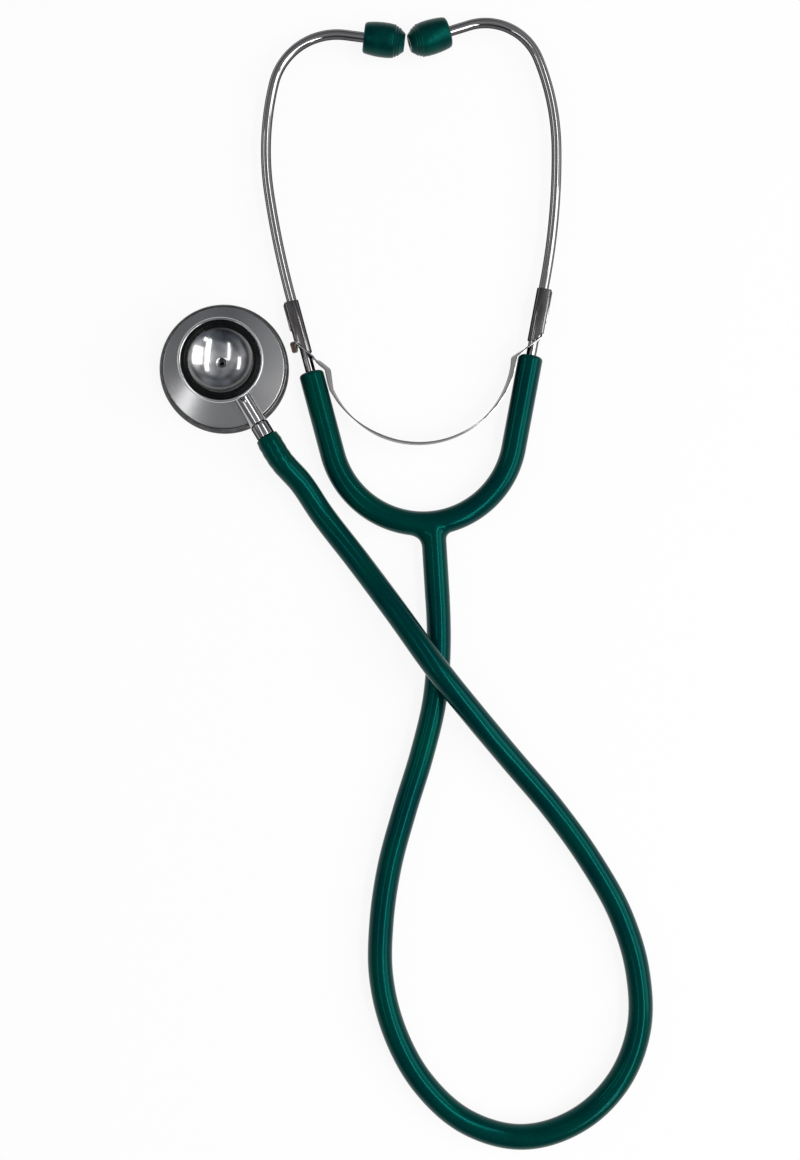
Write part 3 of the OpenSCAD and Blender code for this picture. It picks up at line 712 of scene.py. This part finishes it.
def hose_point(from_stem):
    """Point on the hose's centre line, at that distance from its stem end."""
    target = HOSE_LENGTH - from_stem
    for i in range(len(hose_lengths) - 1, 0, -1):
        before, after = hose_lengths[i - 1], hose_lengths[i]
        if before <= target:
            return hose_line[i - 1].lerp(hose_line[i], (target - before) / (after - before))
    return hose_line[0].copy()


def hose_end_radius(d):
    """Radius at a distance from the stem end: a rounded mouth, then a swell over the barbs."""
    round_r = MOUTH_R + MOUTH_ROUND
    if d < MOUTH_ROUND_L:
        return MOUTH_R + MOUTH_ROUND * math.sqrt(max(0, 1 - (1 - d / MOUTH_ROUND_L) ** 2))
    if d < MOUTH_L:
        return round_r + (HOSE_R - round_r) * (d - MOUTH_ROUND_L) / (MOUTH_L - MOUTH_ROUND_L)
    swell = SWELL * math.cos(TAU * (d - MOUTH_L) / BARB_PITCH)
    return HOSE_R + swell * share((SWELL_TO - d) / SWELL_FADE)


def hose_radius(run):
    """Radius in metres, at a distance in metres from the yoke's end."""
    end_r = hose_end_radius(max(0.0, (HOSE_LENGTH - run) / MM))
    near_yoke = max(0.0, 1 - run / (STUB_BLEND_L * MM))
    return (end_r * (1 - near_yoke) + STUB_R * near_yoke) * MM


ring_points = [p for p, d in zip(hose_line, hose_lengths) if HOSE_LENGTH - d > END_L * MM]
ring_points += [hose_point(d * MM) for d in reversed(END_RINGS)]
hose = tube("hose_tubing", ring_points, [hose_radius(run) for run in lengths_along(ring_points)],
            40, flat_dir(STUB_DIR), -STEM_DIR)
dress(hose, "tubing", "hose", "root")
sharpen(hose, 50)
[tuple(p) for p in ring_points]


# Ear tubes
def run_line(start, heading, runs):
    """Points along straights and bends, and the heading at their end."""
    p, h = Vector(start), heading
    out = [p.copy()]
    for size, turn in runs:
        if turn == 0:
            n = max(1, round(size / 6))
            d = xy(math.cos(h), math.sin(h))
            out += [p + d * size * k / n for k in range(1, n + 1)]
        else:
            s = 1 if turn > 0 else -1
            centre = p + s * size * xy(-math.sin(h), math.cos(h))
            total = math.radians(turn)
            # a bend's steps are at most 2 mm and 2.5 degrees
            n = max(2, math.ceil(abs(total) * size / 2), math.ceil(abs(turn) / 2.5))
            for k in range(1, n + 1):
                a = h + total * k / n
                out.append(centre - s * size * xy(-math.sin(a), math.cos(a)))
            h += total
        p = out[-1].copy()
    return out, h


def ear_tube(side):
    """Bent tube, from its seat in the leg. Gives its end and its direction there."""
    seat = side.top - TUBE_INSERT * side.up
    line, end_heading = run_line(seat, side.heading, side.runs)
    points = [flat(p) for p in line]
    first, last = (flat_dir((math.cos(h), math.sin(h), 0)) for h in (side.heading, end_heading))
    obj = tube(f"{side.name}_tube_metal", points, [TUBE_R * MM] * len(points), 36, first, last,
               TUBE_BORE_R * MM)
    sharpen(obj, 40)
    dress(obj, "tube", f"{side.name}_ear_tube", f"{side.name}_ear")
    return points[-1], last


# Ear tips
def ear_tip(side, tube_end, direction):
    """Moulded barrel: flat back with a rounded edge, slight belly, ridges, chamfered front."""
    outline = [(0, 0), (1.86, 0), (4.75, 0), (5.35, 0.4), (5.65, 1.3), (5.92, 2.9), (6.12, 4.8),
               (TIP_R, 7.0), (6.16, 9.2), (6.0, 10.6)]
    for k in range(3):
        r, z = 5.9 - 0.5 * k, 11.0 + 0.95 * k
        outline += [(r, z), (r + 0.07, z + 0.2), (r + 0.05, z + 0.45), (r - 0.2, z + 0.62)]
    outline += [(3.95, 14.35), (3.45, TIP_L - 0.3), (3.15, TIP_L), (1.35, TIP_L),
                (1.1, TIP_L - 0.25), (1.1, 12), (0, 12)]
    radii = ([0, 0, 0.5, 0.5, 0.8, 1.5, 2, 2, 1.5, 0.4] + [0.08] * 12
             + [0.5, 0.4, 0.25, 0.15, 0.1, 0, 0])
    back = tube_end - direction * TIP_HOLD * MM
    obj = lathe(f"{side.name}_tip_barrel", rounded(outline, radii, 4), 96,
                at=mat_axis(back, direction))
    sharpen(obj, 40)
    dress(obj, "tip", f"{side.name}_ear_tip", f"{side.name}_ear")


tube_ends = [ear_tube(side) for side in SIDES]
for side, (tube_end, direction) in zip(SIDES, tube_ends):
    ear_tip(side, tube_end, direction)


# Turned head pieces
SEAT_Z, EDGE_R, BELL_FLOOR, RING_SEAT, CHEST_H = 1.7, 22.25, 17.4, 22.0, 24.0
SPIGOT_R, CUP_R = 4.52, 11.6
SPINDLE_BORE_R, CLIP_BORE_R, DETENT_R = 2.2, 3.6, 0.85
STEM_FRAME = mat_axis(mm(0, 0, STEM_Z), STEM_DIR)


def build_chest_body():
    """Dish, neck and boss, with the spindle's bore and the sound passage."""
    outline = [(0, 3.6), (20.05, 2.5), (20.25, SEAT_Z), (EDGE_R, SEAT_Z), (EDGE_R, 6.7),
               (9.4, 8.36), (NECK_R, 10.6), (NECK_R, NECK_TOP), (SPIGOT_R, NECK_TOP),
               (SPIGOT_R, 14.0), (0, 14.0)]
    radii = [0, 0.3, 0.1, 0.15, 0.42, 2.0, 1.4, 0.1, 0.05, 0, 0]
    body = lathe("chest_body_metal", rounded(outline, radii, 6), 192)
    boss = [(0, 2), (BOSS_R, 2), (BOSS_R, 7.4), (BOSS_R, BOSS_L - 0.35), (BOSS_R - 0.3, BOSS_L),
            (0, BOSS_L)]
    boolean(body, lathe("boss", rounded(boss, [0, 0, 0, 0.1, 0.1, 0], 3), 96, at=STEM_FRAME),
            "UNION")
    boolean(body, rod(SPINDLE_BORE_R, -14, 26, 96, STEM_FRAME))
    boolean(body, rod(CLIP_BORE_R, -14, -6.2, 96, STEM_FRAME))
    sound = [(0, 2), (1.5, 2), (1.5, 11), (SOUND_R, 11), (SOUND_R, 16), (0, 16)]
    boolean(body, lathe("hole", sound, 48))
    across = xy(math.sin(STEM_AZ), -math.cos(STEM_AZ))
    detent_at = mat_axis((STEM_DIR * -3.2 + Vector((0, 0, STEM_Z))) * MM, across)
    boolean(body, rod(DETENT_R, 0, 15, 48, detent_at))
    return sharpen(body, 30)


def build_bell_cup():
    """A bowl on a short spigot: rolled lip, polished concave inside."""
    depth = RING_SEAT - BELL_FLOOR
    sphere_r = (CUP_R**2 + depth**2) / (2 * depth)
    lip, hole = (math.degrees(math.asin(r / sphere_r)) - 90 for r in (11.38, 1.85))
    bowl = arc(0, BELL_FLOOR + sphere_r, sphere_r, lip, hole, 24)
    outside = rounded(
        [(SOUND_R, 14.02), (4.5, 14.02), (4.5, NECK_TOP), (NECK_R, NECK_TOP), (8.2, 15.9),
         (10.6, 17.0), (13.3, 18.9), (14.85, 21.0), (15.28, 22.4), (15.38, 23.15), (15.1, 23.66),
         (14.5, 23.78), (14.16, 23.5), (14.16, RING_SEAT), (CUP_R, RING_SEAT)],
        [0, 0.05, 0.05, 0.1, 0.5, 3, 3.5, 3, 2, 0.4, 0.35, 0.3, 0.1, 0, 0], 5)
    hole_edge = [(1.72, bowl[-1][1] - 0.06), (1.1, 16.95), (SOUND_R, 16.8)]
    return sharpen(lathe("bell_cup_metal", outside + bowl + hole_edge, 192, closed=True), 32)


def build_bell_ring():
    """Non-chill ring, with a low crest round its middle."""
    crest = [(13.22, CHEST_H - 0.2), (13.02, CHEST_H - 0.03), (12.9, CHEST_H),
             (12.78, CHEST_H - 0.03), (12.56, CHEST_H - 0.2)]
    profile = ([(11.62, RING_SEAT + 0.02), (14.1, RING_SEAT + 0.02)]
               + arc(13.52, 23.3, 0.58, 0, 80, 6) + crest + arc(12.2, 23.3, 0.58, 100, 180, 6))
    return sharpen(lathe("bell_ring_rubber", profile, 192, closed=True), 40)


def build_diaphragm():
    """Flat middle and three small steps."""
    under = [(0, 0.0), (17.4, 0.0), (17.62, 0.35), (18.15, 0.35), (18.37, 0.7), (18.9, 0.7),
             (19.12, 1.05), (22.1, 1.05)]
    low = rounded(under, [0] + [0.12] * 6 + [0], 4)
    return sharpen(lathe("diaphragm_disc", low + [(r, z + 0.35) for r, z in reversed(low)], 192),
                   60)


TEETH, STEPS_PER_TOOTH = 180, 8


def knurl(r, z, a):
    """Depth of the knurled band's grooves, which fade out at its top and bottom."""
    if r <= 22.6 or not 1.9 <= z <= 6.15:
        return 0
    tooth = 0.5 - 0.5 * math.cos(TEETH * a)
    return 0.22 * share((z - 1.9) / 0.6) * share((6.3 - z) / 0.35) * (1 - tooth) ** 1.5


def build_diaphragm_ring():
    """Rolled lip underneath, knurled band round the outside."""
    profile = ([(21.05, 1.05), (21.02, 0.78), (21.2, 0.45), (21.45, 0.25)]
               + arc(22.35, 1.65, 1.4, -90, 0, 10)
               + [(23.75, 2.2), (23.75, 3.2), (23.75, 4.2), (23.72, 4.9), (23.5, 5.5),
                  (23.2, 5.9), (22.9, 6.12), (22.5, 6.2), (22.32, 6.1), (22.30, 5.6),
                  (22.30, 1.05)])
    rim = lathe("diaphragm_rim", profile, TEETH * STEPS_PER_TOOTH, closed=True, groove=knurl)
    return sharpen(rim, 50)


dress(build_chest_body(), "satin", "chest_body", "head")
dress(build_bell_cup(), "bowl", "bell_cup", "head")
dress(build_bell_ring(), "rubber", "bell_ring", "head")
dress(build_diaphragm(), "membrane", "diaphragm", "head")
dress(build_diaphragm_ring(), "rim", "diaphragm_ring", "head")


# Stem
SPINDLE_R, TRACK_R, CLIP_GROOVE_R, STEM_BORE_R = 2.17, 1.53, 1.75, 1.1
PIPE_R, BARB_R, COLLAR_R = 2.3, 2.8, 3.4
COLLAR_FROM, COLLAR_TO = BOSS_L + COLLAR_GAP, HOSE_FROM_AXIS


def build_stem():
    """Spindle with its grooves, collar, and nipple with barbs; heights are from the head's axis."""
    nipple = [(STEM_BORE_R, -1.6), (STEM_BORE_R, 42.4), (PIPE_R, 42.4), (PIPE_R, 39.4),
              (BARB_R, 39.0), (PIPE_R, 35.8), (BARB_R, 35.2), (PIPE_R, 31.8)]
    collar = [(PIPE_R, COLLAR_TO), (2.9, COLLAR_TO), (COLLAR_R, COLLAR_TO - 0.4),
              (COLLAR_R, COLLAR_FROM + 0.45), (3.05, COLLAR_FROM), (SPINDLE_R, COLLAR_FROM)]
    spindle = [(SPINDLE_R, 20.37), (TRACK_R, 20.37), (TRACK_R, 19.63), (SPINDLE_R, 19.63),
               (SPINDLE_R, -2.4), (CLIP_GROOVE_R, -2.9), (CLIP_GROOVE_R, -3.5),
               (SPINDLE_R, -4.0), (SPINDLE_R, -6.25), (CLIP_GROOVE_R, -6.25),
               (CLIP_GROOVE_R, -6.95), (SPINDLE_R, -6.95), (SPINDLE_R, -7.6), (0, -7.6),
               (0, -1.6)]
    radii = [0] * 9 + [0.1, 0.12, 0.12, 0.1] + [0] * 16
    obj = lathe("stem_metal", rounded(nipple + collar + spindle, radii, 3), 96, closed=True,
                at=STEM_FRAME)
    return sharpen(obj, 30)


stem = build_stem()
dress(stem, "chrome", "stem", "root")
boolean(stem, rod(SOUND_R, 0, 4, 32, Matrix.Translation(mm(0, 0, STEM_Z))))


# Yoke
ROUND_END, LEG_END_L, STUB_PLAIN_FROM = 1.4, 6, 14
FILLET_LEFT, FILLET_RIGHT, FILLET_TURN = 4.6, 2.4, 2.5
VOXEL, PASSES, PROBE = 0.42, 6, 0.02


def segment_distance(p, a, d, length):
    """In-plane distance to a segment, and how far along it each point is."""
    rel = p - np.array(a[:2])
    t = rel @ np.array(d[:2])
    near = rel - np.clip(t, 0, length)[:, None] * np.array(d[:2])
    return np.hypot(near[:, 0], near[:, 1]), t


def yoke_field(q):
    """Signed distance, about, to the yoke's surface; q are points of the flat plane in mm."""
    p, z = q[:, :2], q[:, 2]
    rel = p - np.array(U_CENTRE[:2])
    rho = np.hypot(rel[:, 0], rel[:, 1])
    in_arc = (rel @ np.array(LEFT.up[:2]) < 0) & (rel @ np.array(RIGHT.up[:2]) < 0)
    (d_left, t_left), (d_right, t_right) = (
        segment_distance(p, side.foot, side.up, side.leg_l) for side in SIDES)
    d_legs = np.minimum(d_left, d_right)
    d_u = np.where(in_arc, np.minimum(np.abs(rho - U_R), d_legs), d_legs)
    d_stub, t_stub = segment_distance(p, STUB_FROM, STUB_DIR, STUB_L)
    across = (p - np.array(STUB_FROM[:2])) @ np.array([-STUB_DIR[1], STUB_DIR[0]])
    to_right = 0.5 + 0.5 * np.tanh(across / FILLET_TURN)
    fillet = FILLET_LEFT + (FILLET_RIGHT - FILLET_LEFT) * to_right
    # the fillets lie on the stub's side of the U only
    h = np.maximum(fillet - np.abs(d_u - d_stub), 0) / fillet * np.clip((t_stub + 0.5) / 2.5, 0, 1)
    d_stub = np.where(t_stub < 0, np.maximum(d_stub, d_u), d_stub)
    d = np.maximum(np.minimum(d_u, d_stub) - h * h * fillet / 4, 0)
    f = np.hypot(d, z) - LEG_R
    for t, length, mine in ((t_left, LEFT.leg_l, d_left <= d_right),
                            (t_right, RIGHT.leg_l, d_left > d_right)):
        # near its top, a leg is a cylinder round its own axis with a rounded end
        over = t - length
        side_r = np.sqrt(np.maximum(d_legs**2 + z**2 - np.maximum(over, 0)**2, 0))
        qx = side_r - (LEG_R - ROUND_END)
        qy = over + ROUND_END
        end = (np.minimum(np.maximum(qx, qy), 0)
               + np.hypot(np.maximum(qx, 0), np.maximum(qy, 0)) - ROUND_END)
        f = np.where(mine & (over > -LEG_END_L), end, f)
    # away from the U, the stub is a plain cylinder with a flat end
    stub = np.maximum(np.hypot(across, z) - LEG_R, t_stub - STUB_L)
    return np.where(t_stub > STUB_PLAIN_FROM, stub, f)


def build_yoke():
    """A rough Y of tubes, remeshed, then drawn onto the surface where yoke_field is 0."""
    a0, a1 = (math.degrees(math.atan2(side.out.y, side.out.x)) + 360 for side in SIDES)
    line = [LEFT.top] + arc_points(U_CENTRE, U_R, a0, a1, 60) + [RIGHT.top]
    obj = tube("yoke_rubber", line, [LEG_R] * len(line), 32)
    boolean(obj, tube("stub", [STUB_FROM, STUB_END], [LEG_R - 0.01] * 2, 32), "UNION")
    mod = obj.modifiers.new("remesh", "REMESH")
    mod.mode = "VOXEL"
    mod.voxel_size = VOXEL
    apply_modifiers(obj)
    co = np.empty(len(obj.data.vertices) * 3)
    obj.data.vertices.foreach_get("co", co)
    q = co.reshape(-1, 3)
    for _ in range(PASSES):
        f = yoke_field(q)
        grad = np.stack([(yoke_field(q + step) - yoke_field(q - step)) / (2 * PROBE)
                         for step in np.eye(3) * PROBE], axis=1)
        slope = np.maximum((grad**2).sum(axis=1), 0.25)
        q = q - np.clip(f / slope, -0.6, 0.6)[:, None] * grad
    obj.data.vertices.foreach_set("co", q.ravel())
    smooth_faces(obj)
    obj.data.update()
    mouth = [(0, -TUBE_INSERT - 0.2), (1.9, -TUBE_INSERT - 0.2), (1.9, -0.35), (2.25, 0),
             (2.25, 1), (0, 1)]
    for side in SIDES:
        boolean(obj, lathe("bore", mouth, 48, at=mat_axis(side.top, side.up), unit=1))
    obj.data.transform(Matrix.Scale(MM, 4) @ FLAT)
    return sharpen(obj, 45)


yoke = build_yoke()
dress(yoke, "tubing", "yoke_tubing")
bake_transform(yoke)


# Leaf spring and sleeves
ARC_R, ARC_FROM, ARC_TURN, ARC_STEPS = 36, 206, 144, 120
ARC_SHIFT = xy(-1.1, 6.2)
STRIP_LEAN, LEAN_IN, LEAN_OUT = 0.3, 2.4, 32
# the tab runs from a rise above the knee to a drop below the sleeve's top
SLEEVE_L, TAB_DROP, TAB_RISE = 19.8, 1.5, 1.3


def finish_sheet(obj, edge):
    """Rounds the edges of a sheet piece, and brings it from the flat plane into the frame."""
    bevel(obj, edge)
    smooth_faces(obj)
    obj.data.transform(Matrix.Scale(MM, 4) @ FLAT)
    return sharpen(obj, 40)


def offset_line(points, t):
    """Closed outline of thickness t along a line, with mitred corners."""
    left, right = [], []
    n = len(points)
    for i in range(n):
        a = (points[max(i, 1)] - points[max(i, 1) - 1]).normalized()
        b = (points[min(i + 1, n - 1)] - points[min(i, n - 2)]).normalized()
        m = (a + b).normalized()
        side = xy(-m.y, m.x) / max(m.dot(a), 0.2)
        left.append(points[i] + side * t / 2)
        right.append(points[i] - side * t / 2)
    return [(p.x, p.y) for p in left + right[::-1]]


def strip_end(side):
    """The strip's line from inside the sleeve over the knee, and in four steps to the bend."""
    (bend_x, bend_y), (knee_x, knee_y) = side.bend, side.knee
    slope = (bend_y - knee_y) / (knee_x - bend_x)
    line = [(TAB_OUT, side.sleeve_top - TAB_DROP), (TAB_OUT, knee_y + TAB_RISE), side.knee]
    line += [(x, knee_y + (knee_x - x) * slope) for x in (-2.3, -2.9, -3.6, -4.4)]
    return [side.frame @ xy(*p) for p in line + [side.bend]]


def build_spring():
    """One strip on edge, narrowed to a tab in each sleeve and cut out round each tube."""
    left_end, right_end = (strip_end(side) for side in SIDES)
    centre = (left_end[-1] + right_end[-1]) / 2 + ARC_SHIFT
    bow = arc_points(centre, ARC_R, ARC_FROM, ARC_FROM + ARC_TURN, ARC_STEPS)
    line = left_end + bow + right_end[::-1]
    end_radii = [0, 0.8, 0.8, 0, 0, 0, 0, 1.1]
    radii = end_radii + [0] * len(bow) + end_radii[::-1]
    soft = [xy(*p) for p in rounded([(p.x, p.y) for p in line], radii, 5)]
    obj = slab(offset_line(soft, STRIP_T), -STRIP_W / 2, STRIP_W / 2, Matrix.Identity(4))
    obj.name = "leaf_spring_strip"

    # between tube and bend the strip turns its face a little upward, and back along the arc
    way = lengths_along(soft)
    leans = [(sign, amount, way[nearest(soft, end[3])], way[nearest(soft, end[7])])
             for sign, amount, end in ((1, 1.0, left_end), (-1, 0.6, right_end))]
    count = len(soft)
    for k, v in enumerate(obj.data.vertices):
        i = k % (2 * count)
        i = i if i < count else 2 * count - 1 - i
        lean = sum(amount * share(sign * (way[i] - start) / LEAN_IN)
                   * share(1 - sign * (way[i] - bent) / LEAN_OUT)
                   for sign, amount, start, bent in leans)
        along = (soft[min(i + 1, count - 1)] - soft[max(i - 1, 0)]).normalized()
        v.co -= xy(-along.y, along.x) * (v.co.z * STRIP_LEAN * lean)

    for side in SIDES:
        knee_y = side.knee[1]
        for s in (1, -1):
            z0, z1 = sorted((s * TAB_W / 2, s * (TAB_W / 2 + STRIP_W)))
            boolean(obj, block(1.0, 6, knee_y + TAB_RISE, side.sleeve_top + 1, z0, z1, side.frame))
        up_the_tube = side.frame @ Matrix.Rotation(-math.pi / 2, 4, "X")
        boolean(obj, rod(TUBE_R + 0.25, side.bend[1] - 2, knee_y + 0.1, 64, up_the_tube, 1))
    x, y = LEFT.knee
    lug = rounded([(x - 0.15, y - 1), (x - 0.15, y + 1.1), (x + 2.3, y + 1.1), (x + 2.3, y - 3),
                   (x + 0.2, y - 3), (x - 0.15, y - 2)], [0, 0.2, 0.9, 0.9, 0.4, 0], 4)
    boolean(obj, slab(lug, -0.6, 0.6, LEFT.frame), "UNION")
    return finish_sheet(obj, 0.09)


spring = build_spring()
dress(spring, "spring", "leaf_spring")
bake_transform(spring)


def d_section(r, flat_x, half, corner):
    """D-shaped loop: round on the tube's inner side, flat on its outer side."""
    return (arc(0, 0, r, 90, 270, 28)
            + arc(flat_x - corner, -half + corner, corner, -90, 0, 6)
            + arc(flat_x - corner, half - corner, corner, 0, 90, 6))


def build_sleeve(side):
    """Sheet wrapped round tube and tab, with a pinched seam, cut away below for the strip."""
    top, start = side.sleeve_top, side.sleeve_top - SLEEVE_L
    tab_from = side.knee[1] + TAB_RISE + 0.3
    # a slab in this frame is extruded up the tube
    upright = side.frame @ Matrix(((1, 0, 0, 0), (0, 0, 1, 0), (0, 1, 0, 0), (0, 0, 0, 1)))
    obj = slab(d_section(2.38, 2.95, 2.38, 0.85), start, top, upright)
    obj.name = f"{side.name}_sleeve_sheet"
    seam_l = 0.72 * (top - tab_from)
    seam = rounded([(2.6, top - 0.7 - seam_l), (3.5, top - 0.3 - seam_l), (3.5, top - 0.75),
                    (3.1, top - 0.15), (2.6, top - 0.15)], [0, 0.3, 0.45, 0.3, 0], 4)
    boolean(obj, slab(seam, -0.42, 0.42, side.frame), "UNION")
    boolean(obj, slab(d_section(1.88, 2.45, 2.05, 0.4), start - 1, top + 1, upright))
    boolean(obj, block(1.87, 12, start - 1, tab_from, -6, 6, side.frame))
    along_strip = (side.frame @ Matrix.Translation((*side.knee, 0))
                   @ Matrix.Rotation(math.pi / 2 - side.cross, 4, "Z"))
    boolean(obj, block(-30, 30, -30, STRIP_T / 2 + 0.3, -6, 6, along_strip))
    return finish_sheet(obj, 0.1)


for side in SIDES:
    dress(build_sleeve(side), "sleeve", f"{side.name}_spring_sleeve", side.arm)


# Hidden solids, shown as they are
for node, look in (("stem_seal", "rubber"), ("stem_clip", "spring"), ("detent_ball", "chrome"),
                   ("detent_spring", "spring"), ("detent_screw", "spring"),
                   ("diaphragm_washer", "rubber")):
    dress(bpy.data.objects[node], look)


# Floor, world and lamps, in metres
def floor_material():
    """Matt white, which the camera and polished metal see evenly lit."""
    s = Surface("floor_paper")
    s.set("Base Color", (0.86, 0.86, 0.86, 1))
    s.set("Roughness", 0.9)
    s.set("Specular IOR Level", 0.1)
    glow = s.new("Emission")
    glow.inputs["Color"].default_value = (1, 1, 1, 1)
    glow.inputs["Strength"].default_value = 1
    path = s.new("LightPath").outputs
    seen = s.add(s.add(path["Is Camera Ray"], path["Is Glossy Ray"]),
                 path["Is Transmission Ray"], clamp=True)
    mix = s.new("MixShader")
    s.link(s.mul(seen, 0.9), mix.inputs[0])
    s.link(s.shader.outputs[0], mix.inputs[1])
    s.link(glow.outputs[0], mix.inputs[2])
    out = next(n for n in s.tree.nodes if n.type == "OUTPUT_MATERIAL")
    s.link(mix.outputs[0], out.inputs["Surface"])
    return s.material


def build_floor():
    z = -0.0003
    obj = add_mesh("floor", [(-1.5, -1.6, z), (1.6, -1.6, z), (1.6, 1.5, z), (-1.5, 1.5, z)],
                   [(0, 1, 2, 3)], smooth=False)
    obj.data.materials.append(floor_material())
    return obj


def build_world():
    """A studio room: pale walls, darker ends, and uneven bands that chrome reflects."""
    world = bpy.data.worlds.new("studio")
    bpy.context.scene.world = world
    world.use_nodes = True
    w = Nodes(world.node_tree)
    c = w.coords("Generated")
    x, y, z = w.xyz(c)
    uneven = w.add(z, w.mul(w.sub(w.noise(c, 1.1, 1), 0.5), 0.35))
    height = w.ramp(uneven, [
        (0.0, (0.16, 0.15, 0.14)), (0.12, (0.07, 0.065, 0.06)), (0.3, (0.10, 0.095, 0.09)),
        (0.42, (0.6, 0.6, 0.62)), (0.55, (0.65, 0.65, 0.67)), (0.66, 0.36),
        (0.78, (0.75, 0.75, 0.76)), (0.9, (0.52, 0.53, 0.54)), (1.0, (0.38, 0.38, 0.385))])
    patches = w.ramp(w.noise(c, 2.2, 2), [(0.36, (0.55, 0.54, 0.53)), (0.5, 1.0),
                                          (0.64, (1.5, 1.5, 1.52))])
    across = w.ramp(w.half(x), [(0.0, (0.5, 0.5, 0.53)), (0.5, (0.85, 0.85, 0.86)),
                                (1.0, (1.9, 1.9, 1.88))])
    ends = w.ramp(w.half(y), [
        (0.15, (0.16, 0.18, 0.21)), (0.3, (0.66, 0.67, 0.69)), (0.45, 1.15), (0.55, 1.15),
        (0.7, (0.7, 0.71, 0.73)), (0.85, (0.3, 0.32, 0.34))])
    # near the horizon the room is a plain pale wall
    wall = w.ramp(z, [(0.06, 1), (0.3, 0)])
    room = w.product(w.product(height, patches), w.product(across, ends))
    sky = next(n for n in w.tree.nodes if n.type == "BACKGROUND")
    w.link(w.mix(wall, room, (0.74, 0.745, 0.75)), sky.inputs["Color"])
    sky.inputs["Strength"].default_value = 1


def lamp(name, at, width, length, radiance, turn=0.0):
    """Soft panel that faces the middle of the object, its long side along Y."""
    data = bpy.data.lights.new(name, "AREA")
    data.shape = "RECTANGLE"
    data.size = width
    data.size_y = length
    data.energy = radiance * math.pi * width * length
    obj = bpy.data.objects.new(name, data)
    bpy.context.scene.collection.objects.link(obj)
    z = (Vector(at) - xy(0.06, -0.08)).normalized()
    y = (Vector((0, 1, 0)) - z * z.y).normalized()
    m = Matrix((y.cross(z), y, z)).transposed().to_4x4()
    obj.matrix_world = Matrix.Translation(at) @ m @ Matrix.Rotation(turn, 4, "Z")


floor = build_floor()
build_world()
lamp("key", (0.57, -0.37, 1.0), 0.15, 1.15, 11)
lamp("side", (1.2, -0.1, 0.85), 0.65, 1.0, 3.0)
lamp("left", (-0.42, -0.32, 1.0), 0.08, 0.8, 4.5, -0.15)
lamp("upper_left", (-0.8, 0.22, 0.75), 0.10, 0.5, 5)
lamp("upper_right", (0.62, 0.42, 1.0), 0.12, 0.42, 8)
lamp("corner", (0.85, -1.1, 0.9), 0.15, 0.15, 10)
